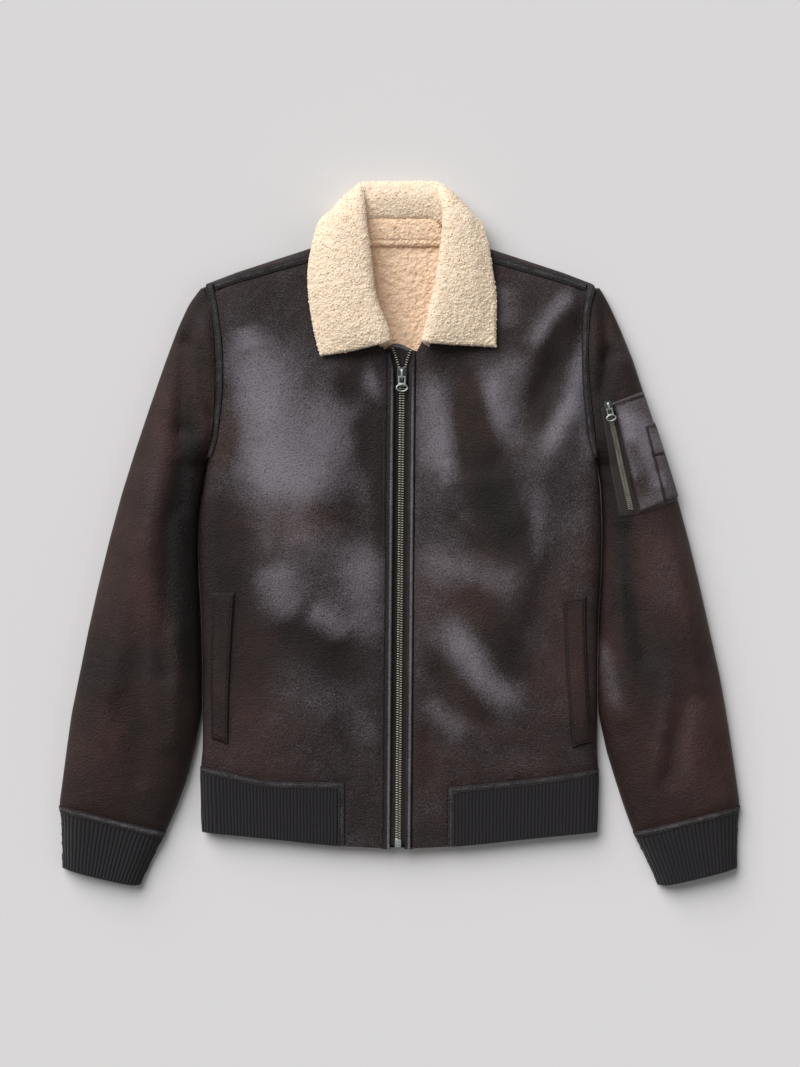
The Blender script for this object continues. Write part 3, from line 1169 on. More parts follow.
row = Tree("pieces_along_lines", Pitch="Float", Piece="Object", Finish="Material")
lines = row.node("GeometryNodeMeshToCurve", {"Mesh": row.input["Geometry"]}).outputs[0]
steps = row.node("GeometryNodeResampleCurve", {"Curve": lines, "Length": row.input["Pitch"]}, mode="LENGTH")
turned = row.node("FunctionNodeAxesToRotation", {
    "Primary Axis": row.named("up", "FLOAT_VECTOR"),
    "Secondary Axis": row.node("GeometryNodeInputTangent").outputs[0]}, primary_axis="Z", secondary_axis="X")
template = row.node("GeometryNodeObjectInfo", {"Object": row.input["Piece"]}).outputs["Geometry"]
placed = row.node("GeometryNodeInstanceOnPoints", {"Points": steps.outputs[0], "Instance": template,
                                                   "Rotation": turned.outputs[0]}).outputs[0]
PIECES_ALONG = row.end(placed, row.input["Finish"])

curls = Tree("curls_on_pile", Density="Float", Smallest="Float", Largest="Float", Piece="Object", Seed="Int",
             Finish="Material")
seed = curls.input["Seed"]
spots = curls.node("GeometryNodeDistributePointsOnFaces", {
    "Mesh": curls.input["Geometry"], "Density": curls.input["Density"], "Seed": seed})
size = curls.node("FunctionNodeRandomValue", {
    2: curls.input["Smallest"], 3: curls.input["Largest"], "Seed": seed}).outputs[1]
spin = curls.node("FunctionNodeRandomValue", {0: (0.0, 0.0, 0.0), 1: (0.9, 0.9, 6.3), "Seed": seed},
                  data_type="FLOAT_VECTOR").outputs[0]
facing = curls.node("FunctionNodeRotateRotation", {
    "Rotation": spots.outputs["Rotation"],
    "Rotate By": curls.node("FunctionNodeEulerToRotation", {0: spin}).outputs[0]}, rotation_space="LOCAL")
set_down = curls.node("GeometryNodeInstanceOnPoints", {
    "Points": spots.outputs["Points"], "Rotation": facing.outputs[0], "Scale": size,
    "Instance": curls.node("GeometryNodeObjectInfo", {"Object": curls.input["Piece"]}).outputs["Geometry"]})
CURLS_ON_PILE = curls.end(set_down.outputs[0], curls.input["Finish"])
print("trees:", [g.name for g in bpy.data.node_groups])

# %% [markdown]
# ## The knit
# Waistband and cuffs are ribbed: raised columns of stitches about 4 mm apart. Each piece is first a plain
# wall with six or eight points to a rib, and the tree raises the ribs, a little unevenly because they
# waver. Underneath, ribs are sunk instead of raised, so that the jacket still lies flat.

# %% Knit the waistband and cuffs
KNIT_WALL = 4.0
WAIST_RIBS, BACK_RIBS, CUFF_RIBS = 42, 120, 27
PER_RIB, PER_BACK_RIB = 8, 6
CUFF_WIDTH = 75.0


def knitted(name, point, x, y, rib, along, ribs_across, sunk, rise, uneven=0.05, quiet=3):
    """A wall of knit over a plan. rib counts the ribs across it; they waver, less so at its two ends."""
    waver = uneven * np.sin(along * 0.16 + rib * 0.9) + 0.5 * uneven * np.sin(along * 0.43 + rib * 2.3)
    rib = rib + waver * smooth(rib / quiet) * smooth((ribs_across - rib) / quiet)
    outer, inner = point(x, y, 0.0), point(x, y, KNIT_WALL)
    made = wall(name, outer, inner, (KNIT, KNIT, KNIT), weave=(rib, along * MM))
    tag(made.data, "rib", np.tile(rib.ravel(), 2))
    tag(made.data, "sunk", np.full(2 * rib.size, sunk))
    tag(made.data, "outside", np.repeat([1.0, 0.0], rib.size))
    grow(made, RAISE_RIBS, Rise=rise * MM)


def waist_rib(side):
    """Half of the waistband's front, from the side fold to the leather tab."""
    sign, drop = SIDES[side], HEM_STRIP_WIDTH + 2 * SEAM
    top, inner_x = hem_strip_top(side, drop), HEM_TAB_X[side] + HEM_STRIP_WIDTH + 2 * SEAM
    fold_x = abs(float(side_fold[side](-300.0)))
    steps = from_fold(fold_x - inner_x, BODY_TURN, 8.0, (fold_x - inner_x) / (PER_RIB * WAIST_RIBS))
    head_y = top(steps / (fold_x - HEM_TAB_X[side]))[:, 1]
    share = steps / steps[-1]
    end_x = abs(float(side_fold[side](HEM_BOTTOM_SIDE_Y))) * (1 - share) + inner_x * share
    v = shares(26)[:, None, None]
    plan = joined(sign * (fold_x - steps), head_y) * (1 - v) + joined(sign * end_x, hem_y(end_x)) * v
    plan[:, 0, 0] = side_fold[side](plan[:, 0, 1])
    x, y = plan[..., 0], plan[..., 1]
    rib = (np.arange(len(steps)) / (len(steps) - 1) * WAIST_RIBS)[None, :] * np.ones((26, 1))
    knitted(f"waist_knit_{side}", body_top[side], x, y, rib, head_y[None, :] - y, WAIST_RIBS, 0.0, 1.1)


def waist_back():
    columns = fold_to_fold(BODY_WIDTH, TRAY_TURN, 9.0, BODY_WIDTH / (BACK_RIBS * PER_BACK_RIB))
    low, high = side_fold["right"](BACK_SEAM_Y), side_fold["left"](BACK_SEAM_Y)
    head_x = low * (1 - columns) + high * columns
    seam = back_seam_y(head_x) - 2 * SEAM
    y = seam[None] + (hem_y(head_x) - seam)[None] * shares(14)[:, None]
    x = side_fold["right"](y) * (1 - columns) + side_fold["left"](y) * columns
    along = seam[None] - y
    rib = columns * BACK_RIBS + 0.0 * along
    knitted("waist_knit_back", body_tray, x, y, rib, along, BACK_RIBS, -1.0, 1.0)


def cuff(side):
    """Two halves of one knitted tube, which meet on the folds."""
    for part, point, turn, sunk in (("top", sleeve_top[side], SLEEVE_TURN, 0.0),
                                    ("under", sleeve_tray[side], TRAY_TURN, -1.0)):
        columns = fold_to_fold(CUFF_WIDTH, turn, 9.0, CUFF_WIDTH / (CUFF_RIBS * PER_RIB))
        head = cuff_line(side, CUFF_SEAM_ENDS_Y, CUFF_SEAM, SEAM)(columns)
        foot = cuff_line(side, CUFF_END_Y, CUFF_END)(columns)
        v = shares(26)[:, None, None]
        plan = head[None] * (1 - v) + foot[None] * v
        plan[:, 0, 0], plan[:, -1, 0] = outer_fold[side](plan[:, 0, 1]), inner_fold[side](plan[:, -1, 1])
        x, y = plan[..., 0], plan[..., 1]
        steps = np.linalg.norm(np.diff(point(x[8], y[8], 0.0), axis=0), axis=1)
        arc = np.concatenate([[0.0], np.cumsum(steps)])
        rib = (arc / arc[-1] * CUFF_RIBS)[None, :] * np.ones((26, 1))
        along = np.hypot(x - x[:1], y - y[:1])
        knitted(f"cuff_knit_{part}_{side}", point, x, y, rib, along, CUFF_RIBS, sunk, 1.15, 0.04, 2)


for side in SIDES:
    waist_rib(side)
    cuff(side)
waist_back()
print("faces in the knit:", sum(len(p.data.polygons) for n, p in pieces.items() if "knit" in n))

# %% [markdown]
# ## The pile collar
# The collar is one folded band: a stand inside the neck, a soft roll, and a fall that lies over the
# shoulders and ends in two points. Six lines run along it from tip to tip; a smooth curve across them is
# its section. The pile's nubs are 3.6 mm clumps of wool, raised in the mesh so that they break the outline,
# with the fibres left to the finish. Every nub is found from a hash of its cell, so nothing is random.

# %% Nubs


def hashed(cell, salt):
    """A number from 0 to 1 for each whole-number cell."""
    mixed = (cell[..., 0] * 73856093) ^ (cell[..., 1] * 19349663) ^ (cell[..., 2] * 83492791)
    mixed = mixed ^ (salt * 2654435)
    mixed = (mixed ^ (mixed >> 13)) * 1274126177 & 0x7FFFFFFF
    return ((mixed ^ (mixed >> 16)) & 0xFFFF) / 65535.0


def nubs(points, size, salt=1):
    """Rounded clumps of a size in millimetres: 1 on a clump's top, 0 in the hollows."""
    p = points / size
    base = np.floor(p).astype(np.int64)
    best = np.full(p.shape[:-1], 9.0)
    tall = np.ones(p.shape[:-1])
    for shift in np.ndindex(3, 3, 3):
        cell = base + np.array(shift) - 1
        centre = cell + np.stack([hashed(cell, salt + k) for k in range(3)], -1)
        away = ((p - centre) ** 2).sum(-1)
        tall = np.where(away < best, 0.55 + 0.45 * hashed(cell, salt + 7), tall)
        best = np.minimum(best, away)
    return np.clip(1.0 - best * 1.15, 0.0, 1.0) * tall


# %% Fold the collar
COLLAR_WALL = 7.0
COLLAR_RIGHT = [
    ((-22, 214, 26), (-16, 216, 29), (-11, 218, 34), (-18, 217, 39), (-57, 208, 33), (-91, 203, 28)),
    ((-34, 240, 26), (-24, 238, 29), (-17, 237, 36), (-26, 238, 42), (-62, 233, 38), (-98, 230, 28)),
    ((-52, 270, 26), (-37, 268, 29), (-29, 267, 37), (-37, 268, 43), (-70, 268, 40), (-104, 270, 29)),
    ((-68, 296, 26), (-47, 296, 28), (-34, 296, 37), (-42, 297, 43), (-74, 300, 40), (-105, 303, 28)),
    ((-82, 322, 24), (-58, 326, 26), (-38, 330, 36), (-46, 331, 42), (-74, 333, 39), (-99, 337, 26)),
    ((-72, 339, 18), (-58, 350, 22), (-42, 360, 33), (-50, 362, 38), (-73, 362, 34), (-91, 359, 16)),
    ((-58, 349, 16), (-50, 366, 20), (-43, 383, 27), (-52, 386, 28), (-70, 376, 20), (-78, 360, 7)),
    ((-44, 358, 16), (-43, 378, 20), (-43, 396, 19), (-47, 398, 12), (-58, 382, 5), (-60, 352, 4)),
    ((-30, 362, 16), (-30, 385, 20), (-30, 400, 15), (-30, 400, 8), (-32, 380, 4), (-34, 347, 4)),
    ((0, 362, 16), (0, 385, 20), (0, 400, 15), (0, 400, 8), (0, 380, 4), (0, 345, 4)),
]
COLLAR_LEFT = [
    ((34, 214, 26), (30, 216, 29), (28, 218, 34), (35, 217, 39), (72, 215, 34), (111, 213, 28)),
    ((42, 240, 26), (38, 239, 29), (33, 238, 36), (41, 239, 42), (76, 238, 38), (111, 238, 28)),
    ((56, 270, 26), (47, 269, 29), (40, 268, 37), (48, 269, 43), (80, 270, 40), (111, 271, 29)),
    ((70, 296, 26), (58, 297, 28), (46, 298, 37), (54, 299, 43), (82, 299, 40), (107, 300, 28)),
    ((82, 322, 24), (66, 328, 26), (51, 332, 36), (58, 333, 42), (81, 333, 38), (101, 337, 26)),
    ((72, 339, 18), (62, 351, 22), (53, 361, 33), (60, 362, 38), (78, 361, 33), (92, 357, 16)),
    ((58, 349, 16), (53, 366, 20), (49, 383, 27), (57, 386, 28), (72, 375, 20), (79, 359, 7)),
    ((44, 358, 16), (44, 378, 20), (45, 396, 19), (49, 398, 12), (59, 382, 5), (60, 352, 4)),
    ((30, 362, 16), (30, 385, 20), (30, 400, 15), (30, 400, 8), (32, 380, 4), (34, 347, 4)),
]
COLLAR_LIES_Z = 21.0      # above this the fall lies on the fronts
COLLAR_CLEARANCE = 1.8
COLLAR_ALONG = 470
COLLAR_ACROSS = 84
NUB_SIZE = 3.6
NUB_RISE = 1.5

collar_rows = np.array(COLLAR_RIGHT + COLLAR_LEFT[::-1], float)
stations = shares(COLLAR_ALONG)


def row_line(k):
    """The k-th line of the collar, read by row of the table and not by length, as rows belong together."""
    p = with_ends(collar_rows[:, k])
    at = stations * (len(collar_rows) - 1)
    j = np.minimum(at.astype(int), len(collar_rows) - 2)
    return smooth_between(*(p[j + m] for m in range(4)), (at - j)[:, None])


sections = np.stack([row_line(k) for k in range(collar_rows.shape[1])], 1)
middle = np.array([run_through(section)(shares(COLLAR_ACROSS)) for section in sections])
for side in SIDES:
    x, y, z = (middle[..., k] for k in range(3))
    lies = ((x < 0) == (side == "right")) & (z > COLLAR_LIES_Z) & (y < shoulder_y(x))
    floor_z = body_top[side](x, np.minimum(y, shoulder_y(x) - SHOULDER_TURN), 0.0)[..., 2]
    middle[..., 2] = np.where(lies, np.maximum(z, floor_z + COLLAR_WALL / 2 + COLLAR_CLEARANCE), z)
middle[..., 2] = np.maximum(middle[..., 2], COLLAR_WALL / 2 + 0.3)


def normals_of(grid):
    normal = np.cross(np.gradient(grid, axis=1), np.gradient(grid, axis=0))
    return normal / np.maximum(np.linalg.norm(normal, axis=-1, keepdims=True), 1e-9)


def puffed(grid, wall_thickness, edge=6.0):
    """Outer and inner faces of a pile band, rounded towards its edges and covered in nubs."""
    normal = normals_of(grid)
    steps = [np.linalg.norm(np.diff(grid, axis=k), axis=-1).mean() for k in range(2)]
    a, b = (np.minimum(np.arange(n), np.arange(n)[::-1]) * step for n, step in zip(grid.shape, steps))
    lean = 1.0 - np.clip(np.minimum(a[:, None], b[None, :]) / edge, 0.0, 1.0)
    half = wall_thickness / 2 * np.sqrt(np.clip(1.0 - lean ** 2, 0.04, 1.0))
    faces = []
    for sign in (1, -1):
        smooth_face = grid + normal * (sign * half)[..., None]
        clumps = nubs(smooth_face, NUB_SIZE) * 0.75 + nubs(smooth_face, NUB_SIZE * 2.3, 5) * 0.45
        faces.append(smooth_face + normal * (sign * (clumps - 0.35) * NUB_RISE)[..., None])
    for face in faces:
        face[..., 2] = np.maximum(face[..., 2], 0.3)
    return faces


outer, inner = puffed(middle, COLLAR_WALL)
wall("pile_collar", outer, inner, (PILE, PILE, PILE))
print("collar faces:", len(pieces["pile_collar"].data.polygons))

# %% [markdown]
# ## Inside the neck
# A pile band joins the collar to the back, with a seam on either side of it. The back's own pile shows
# below it, warmer and darker because little light gets in. It is a second, finer layer of nubs that lies
# on the back panel's inner face where the opening shows it.

# %% Line the neck
NECK_BAND = [(-56.0, -43.0), (56.0, 44.5)]      # x at its lower and upper edge, right and left
NECK_BAND_WALL = 5.5
NECK_BAND_Z = (5.6, 13.0)

BAND_Y = (330.4, 362.6)
NECK_CREASE_Y = 337.6
(right_low, right_high), (left_low, left_high) = NECK_BAND
v, u = shares(30)[:, None], shares(90)[None, :]
start, end = right_low + (right_high - right_low) * v, left_low + (left_high - left_low) * v
z = NECK_BAND_Z[0] + (NECK_BAND_Z[1] - NECK_BAND_Z[0]) * v + 4.5 * (1 - v) + NECK_BAND_WALL / 2
y = BAND_Y[0] + (BAND_Y[1] - BAND_Y[0]) * v
z = z + 1.2 * np.sin(math.pi * v) - 1.8 * np.exp(-((y - NECK_CREASE_Y) / 1.1) ** 2)
band = joined(start + (end - start) * u, y, z)
outer, inner = puffed(band, NECK_BAND_WALL, 5.0)
inner[..., 2] = np.maximum(inner[..., 2], z - NECK_BAND_WALL / 2)
wall("pile_neck_band", outer, inner, (LINING, LINING, LINING))

neck_left, neck_right, neck_foot = 62.0, -58.0, 196.0
x, y = np.meshgrid(np.linspace(neck_right, neck_left, 86), np.linspace(neck_foot, BACK_NECK_Y + 4.2, 98))
bed = body_tray(x, y, LEATHER_WALL)
top_face = bed.copy()
fade = smooth(np.minimum(np.minimum(x - neck_right, neck_left - x), y - neck_foot) / 12.0)
top_face[..., 2] += 0.25 + (0.4 + 2.2 * nubs(bed, 4.2, 3) + 0.8 * nubs(bed, 9.0, 4)) * fade
bed[..., 2] -= 1.0
wall("pile_back_neck", top_face, bed, (LINING, LINING, LINING))


# %% [markdown]
# ## The front zip
# Two woven tapes, each with a row of teeth along its edge. The rows mesh below the slider and part above
# it in a V. A rolled leather edge beside each tape hides most of it, and a bound guard lies behind the
# top, so that the metal doesn't touch the chin. A tooth is a small bevelled block with a nose; the tree
# sets about 200 of them on each row, half a pitch apart so that they mesh.

# %% Tapes, rolled edges and guard
TAPE_BOTTOM = 13.6
TAPE_THICKNESS = 1.7
TAPE_WIDTH = 15.2
ROW_MIDDLE_Z = 17.4
MOUTH_Y, PARTED_Y = 186.0, 191.0      # where the rows start to part, and where they are clear
ZIP_SPREAD = {"right": (-7.6, 212.7), "left": (12.4, 210.0)}
ZIP_EDGE_PARTING = 4.5    # how far the edge strips draw back at the top of the zip
GUARD = [(-20.0, 208.0), (-9.8, 217.4), (1.7, 217.6), (18.4, 209.0), (22.0, 204.0)]
GUARD_FOOT_Y = 140.0
GUARD_BOTTOM, GUARD_FACE = 9.8, 12.2
TOOTH_PITCH = 2.8


def parting_line(side, reach):
    """The chain's line at a reach from its middle: straight up to the slider, then away in a V."""
    sign, spread = SIDES[side], ZIP_SPREAD[side]
    low = [(chain_x(y) + sign * reach, y) for y in (-352.0, -160.0, 20.0, 120.0, 176.0, 182.0)]
    mouth = (chain_x(MOUTH_Y) + sign * (reach + 0.35), MOUTH_Y)
    parted = (chain_x(PARTED_Y) + sign * (reach + 1.9), PARTED_Y)
    far = (spread[0] + sign * (reach - 1.65), spread[1])
    half = ((parted[0] + far[0]) / 2 - sign * 0.4, (parted[1] + far[1]) / 2)
    return run_through(low + [mouth, parted, half, far])


for side, sign in SIDES.items():
    low = [(chain_x(y) + sign * 8.0, y) for y in (-360.0, -120.0, 120.0, 176.0, 184.0)]
    parted = (chain_x(PARTED_Y) + sign * 9.5, PARTED_Y)
    far = (ZIP_SPREAD[side][0] + sign * 5.85, ZIP_SPREAD[side][1])
    line = run_through(low + [parted, far])(shares(60))
    ahead = np.gradient(line, axis=0)
    across = joined(-ahead[:, 1], ahead[:, 0]) / np.linalg.norm(ahead, axis=1, keepdims=True)
    plan = line[:, None] + across[:, None] * (np.linspace(-0.5, 0.5, 7)[None, :, None] * TAPE_WIDTH)
    x, y = plan[..., 0], plan[..., 1]
    outer, inner = joined(x, y, TAPE_BOTTOM + TAPE_THICKNESS), joined(x, y, TAPE_BOTTOM)
    wall(f"zip_tape_weave_{side}", outer, inner, (TAPE, TAPE, TAPE))

EDGE_W = (1.0 - np.cos(np.linspace(0.0, math.pi, 13))) / 2
EDGE_WEAR = {"right": 1.7, "left": 1.5}   # how pale each roll's crest is rubbed
EDGE_CREST = {"right": 0.24, "left": 0.6}
edge_plans = {}
for side, sign in SIDES.items():
    y = np.linspace(float(hem_y(0.0)), FRONT_NECK_Y, 150)
    parting = ZIP_EDGE_PARTING * smooth((y - 186.0) / 22.0)
    near_x = chain_x(y) + sign * (ZIP_EDGE_REACH[side] - ZIP_EDGE_WIDTH + parting)
    far_x = chain_x(y) + sign * ZIP_EDGE_REACH[side]
    plan = joined(near_x[:, None] * (1 - EDGE_W) + far_x[:, None] * EDGE_W, y[:, None])
    edge_plans[side] = plan
    rise = -0.6 + 2.6 * np.sqrt(np.clip(1.0 - (2 * EDGE_W - 1) ** 2, 0.0, 1.0))
    puff = 1.0 + 0.12 * np.sin(y * 0.11 + sign)[:, None] + 0.08 * np.sin(y * 0.29)[:, None]
    outer = body_top[side](plan[..., 0], plan[..., 1], -rise[None] * puff)
    under = joined(plan[..., 0], plan[..., 1], TAPE_BOTTOM + 2.0)
    paints = rubbed(plan, more=-0.15)
    crest = EDGE_WEAR[side] * np.exp(-((EDGE_W - EDGE_CREST[side]) / 0.17) ** 2)[None] - 0.25
    paints["worn"] = crest * smooth((220.0 - y) / 90.0)[:, None]
    wall(f"zip_edge_leather_{side}", outer, under, (TRIM, TRIM, TRIM), paints=paints)

head_x, head_y = run_through(GUARD)(shares(40)).T
v = shares(30)[:, None]
y = head_y * (1 - v) + GUARD_FOOT_Y * v
roll = 1.3 * np.exp(-((head_y - y - 2.2) / 1.8) ** 2)
outer, inner = joined(head_x, y, GUARD_FACE + roll), joined(head_x, y, GUARD_BOTTOM)
wall("chin_guard_leather", outer, inner, (TRIM, LINING, TRIM), paints={"worn": roll})

# %% [markdown]
# ## Small hard parts
# Metal parts are outlines drawn out to a thickness and bevelled, and round bars swept along a path. Each
# is drawn round its own pivot, then set down where the frame has it.

# %% Helpers for metal


def bar_piece(work, outline, low, high, bevel, rounds=2):
    """A plate: a closed outline drawn out from low to high, with its edges bevelled."""
    made = bmesh.new()
    bottom = [made.verts.new((x, y, low)) for x, y in outline]
    top = [made.verts.new((x, y, high)) for x, y in outline]
    made.faces.new(bottom[::-1])
    made.faces.new(top)
    for k in range(len(outline)):
        m = (k + 1) % len(outline)
        made.faces.new([bottom[k], bottom[m], top[m], top[k]])
    bmesh.ops.recalc_face_normals(made, faces=made.faces)
    bmesh.ops.bevel(made, geom=list(made.edges), offset=bevel, segments=rounds, affect="EDGES", profile=0.6)
    mesh = bpy.data.meshes.new("plate")
    made.to_mesh(mesh)
    made.free()
    work.from_mesh(mesh)
    bpy.data.meshes.remove(mesh)


def swept_bar(work, path, radius, closed=False, sides=12, flat_share=1.0):
    """A round bar along a path. flat_share presses it flat in Z."""
    p = np.array(path, float)
    n = len(p)
    ahead = np.roll(p, -1, 0) - np.roll(p, 1, 0) if closed else np.gradient(p, axis=0)
    ahead /= np.linalg.norm(ahead, axis=1, keepdims=True)
    out = np.cross(ahead, [0.0, 0.0, 1.0])
    out = np.where(np.linalg.norm(out, axis=1, keepdims=True) < 1e-6, [[1.0, 0.0, 0.0]], out)
    out /= np.linalg.norm(out, axis=1, keepdims=True)
    side_up = np.cross(out, ahead)
    turns = np.linspace(0.0, 2 * math.pi, sides, endpoint=False)
    rings = [[work.verts.new(p[k] + radius * (math.cos(a) * out[k] + flat_share * math.sin(a) * side_up[k]))
              for a in turns] for k in range(n)]
    made = []
    for k in range(n if closed else n - 1):
        for m in range(sides):
            a, b = rings[k], rings[(k + 1) % n]
            made.append(work.faces.new([a[m], b[m], b[(m + 1) % sides], a[(m + 1) % sides]]))
    if not closed:
        made += [work.faces.new(rings[0]), work.faces.new(rings[-1][::-1])]
    bmesh.ops.recalc_face_normals(work, faces=made)


def rounded(points, radius, steps=5):
    """An outline with its corners rounded."""
    p = np.array(points, float)
    out = []
    for k in range(len(p)):
        here, before, after = p[k], p[k - 1], p[(k + 1) % len(p)]
        back, ahead = np.linalg.norm(before - here), np.linalg.norm(after - here)
        r = min(radius, back * 0.45, ahead * 0.45)
        a, b = here + (before - here) / back * r, here + (after - here) / ahead * r
        for t in shares(steps):
            out.append((1 - t) ** 2 * a + 2 * t * (1 - t) * here + t ** 2 * b)
    return [tuple(q) for q in out]


def set_down(name, work, finish, scale=1.0, turn=0.0, place=(0.0, 0.0, 0.0), keep=True):
    """Makes the mesh, in place: scaled, turned about Z and moved. Sizes are millimetres."""
    mesh = bpy.data.meshes.new(name)
    work.to_mesh(mesh)
    work.free()
    co = np.zeros(len(mesh.vertices) * 3)
    mesh.vertices.foreach_get("co", co)
    co = co.reshape(-1, 3) * scale
    c, s = math.cos(turn), math.sin(turn)
    co = joined(co[:, 0] * c - co[:, 1] * s, co[:, 0] * s + co[:, 1] * c, co[:, 2]) + np.array(place)
    mesh.vertices.foreach_set("co", (co * MM).ravel())
    mesh.materials.append(finish)
    mesh.polygons.foreach_set("use_smooth", np.ones(len(mesh.polygons), bool))
    mesh.set_sharp_from_angle(angle=math.radians(38.0))
    mesh.update()
    return linked(name, mesh, keep)


def template(name, work):
    """A small piece for a tree to set down, out of the picture."""
    return set_down(name, work, SILVER, keep=False)


TOOTH = [(-1.4, -0.38), (0.3, -0.38), (0.7, -0.3), (1.2, -0.38), (1.5, -0.16), (1.5, 0.16), (1.2, 0.38),
         (0.7, 0.3), (0.3, 0.38), (-1.4, 0.38)]       # across the row, along it
teeth = {}
for side, sign in SIDES.items():
    work = bmesh.new()
    bar_piece(work, [(along, sign * across) for across, along in TOOTH], -1.3, 1.3, 0.16, 1)
    teeth[side] = template(f"tooth_{side}", work)
work = bmesh.new()
bmesh.ops.create_uvsphere(work, u_segments=6, v_segments=5, radius=0.5)
bmesh.ops.rotate(work, verts=work.verts, matrix=Matrix.Rotation(math.pi / 2, 3, "Y"))
bmesh.ops.scale(work, verts=work.verts, vec=(2.7, 0.85, 0.6))
stitch = template("stitch", work)
print("tooth faces:", len(teeth["left"].data.polygons), "stitch faces:", len(stitch.data.polygons))

# %% [markdown]
# ## Walking along lines
# A seam is handed to the tree as a plain chain of points, each with the direction that is up from the
# cloth there. The tree does the spacing.

# %% Rows of teeth and lines of thread


def lines_object(name, lines, ups):
    """Chains of points in millimetres as one mesh of edges, with the way up at each point."""
    points, edges, count = np.concatenate(lines), [], 0
    for line in lines:
        edges += [(count + k, count + k + 1) for k in range(len(line) - 1)]
        count += len(line)
    mesh = bpy.data.meshes.new(name)
    mesh.from_pydata((points * MM).tolist(), edges, [])
    layer = mesh.attributes.new("up", "FLOAT_VECTOR", "POINT")
    layer.data.foreach_set("vector", np.concatenate(ups).astype(np.float32).ravel())
    return linked(name, mesh)


for side, sign in SIDES.items():
    line = parting_line(side, 1.75)(shares(240))
    offset = 0.0 if side == "right" else TOOTH_PITCH / 2
    keep = np.concatenate([[True], np.diff(line[:, 1]) > 0])
    points = joined(line[keep, 0], line[keep, 1], ROW_MIDDLE_Z)
    points[0, 1] += offset
    made = lines_object(f"zip_teeth_{side}", [points], [np.tile([[0.0, 0.0, 1.0]], (len(points), 1))])
    grow(made, PIECES_ALONG, Pitch=TOOTH_PITCH * MM, Piece=teeth[side], Finish=TEETH)
print("teeth faces:", [len(pieces[f"zip_teeth_{s}"].data.polygons) for s in SIDES])


# %% [markdown]
# ## Pockets
# Each front has a slanted welt pocket: a folded strip of leather, stitched all round. On the left sleeve
# sits a patch pocket with its own zip along its inner side, and on the patch a narrow pen pocket that is
# divided by one seam. All of them follow the cloth below.

# %% Sew on the pockets
WELT = {
    "right": [(214.8, -69.0), (189.0, -68.3), (216.2, -236.3), (197.0, -243.2)],
    "left": [(214.5, -71.3), (188.4, -75.9), (221.5, -240.3), (198.9, -247.9)],
}
WELT_BOW = {"right": 1.5, "left": -2.0}
WELT_THICKNESS = 3.2
ON_SLEEVE = 0.4           # how far the patches lie above the sleeve's face
ARM_POCKET_INNER = [(243.6, 148.8), (274.6, 21.5)]
ARM_POCKET_TOP_Y = (148.8, 163.0)
ARM_POCKET_FOOT_Y = (21.5, 38.0)
ARM_POCKET_THICKNESS = 2.4
PEN_POCKET_INNER = [(280.0, 124.0), (302.4, 36.8)]
PEN_POCKET_THICKNESS = 1.6
ARM_FACING_INNER = [(231.0, 143.0), (253.0, 18.5)]
ARM_FACING_THICKNESS = 1.2
ARM_CHAIN = [(240.6, 140.0), (265.4, 27.0)]
ARM_ZIP_SCALE = 0.84


POCKET_RUBS = [
    ([(250, 143), (262, 128), (266, 100)], 5, 0.8), ([(270, 142), (282, 112), (288, 66)], 6, 0.5),
    ([(293, 74), (300, 50)], 4.5, 0.6), ([(296, 116), (306, 92)], 4, 0.5),
    ([(266, 66), (276, 36)], 8, -0.5), ([(262, 110), (276, 80), (284, 40)], 5, -0.35),
]


def rounded_rise(count_v, count_u, size_v, size_u, edge=2.2):
    """1 inside a patch, falling in a quarter circle to its edges."""
    v = np.minimum(np.linspace(0, size_v, count_v), np.linspace(size_v, 0, count_v))[:, None]
    u = np.minimum(np.linspace(0, size_u, count_u), np.linspace(size_u, 0, count_u))[None, :]
    lean = 1.0 - np.clip(np.minimum(u, v) / edge, 0.0, 1.0)
    return np.sqrt(1.0 - lean ** 2)


def padded_patch(name, start, end, size, point, below, thickness, finish, dips=(), edge=2.2, wear=0.0,
                 rubs=()):
    """A thin piece on the cloth between two plan lines, rounded at its edges, dipped along its seams."""
    rows, columns = int(size[1] / 2.2), max(int(size[0] / 1.6), 9)
    v, u = shares(rows), shares(columns)[None, :, None]
    plan = start(v)[:, None] * (1 - u) + end(v)[:, None] * u
    rise = 0.25 + 0.75 * rounded_rise(rows, columns, size[1], size[0], edge)
    paints = rubbed(plan, rubs, 0.0, wear)
    for line, depth in dips:
        dip = np.exp(-(near(line, plan[..., 0], plan[..., 1])[0] / 1.2) ** 2)
        rise, paints["worn"] = rise - depth * dip, paints["worn"] - 0.9 * dip
    return laid(name, plan, point, -below - thickness * rise, -below, (finish, finish, finish), paints=paints)


def bowed(start, end, bow):
    """A line that leaves the straight way by bow in its middle."""
    def at(v):
        v = np.asarray(v)[..., None]
        return start + (end - start) * v + bow * np.sin(math.pi * v)
    return at


def between_lines(lines, v, u):
    """Plan points at shares v along two lines, u of the way from the first to the second."""
    u = np.reshape(u, (-1, 1))
    return lines[0](v) * (1 - u) + lines[1](v) * u


welt_lines = {}
for side, sign in SIDES.items():
    corners = [np.array([sign * x, y]) for x, y in WELT[side]]
    bow = np.array([sign * WELT_BOW[side], 0.0])
    lines = welt_lines[side] = bowed(corners[0], corners[2], bow), bowed(corners[1], corners[3], bow)
    ends = [lines[0](v) * 0.9 + lines[1](v) * 0.1 for v in np.linspace(0.02, 0.98, 7)]
    back = [lines[0](v) * 0.1 + lines[1](v) * 0.9 for v in np.linspace(0.98, 0.02, 7)]
    padded_patch(f"welt_leather_{side}", *lines, (26.0, 168.0), body_top[side], 0.0, WELT_THICKNESS, SHELL,
                 [(ends + back + ends[:1], 0.25)], 3.0, -0.3)

left_top = sleeve_top["left"]


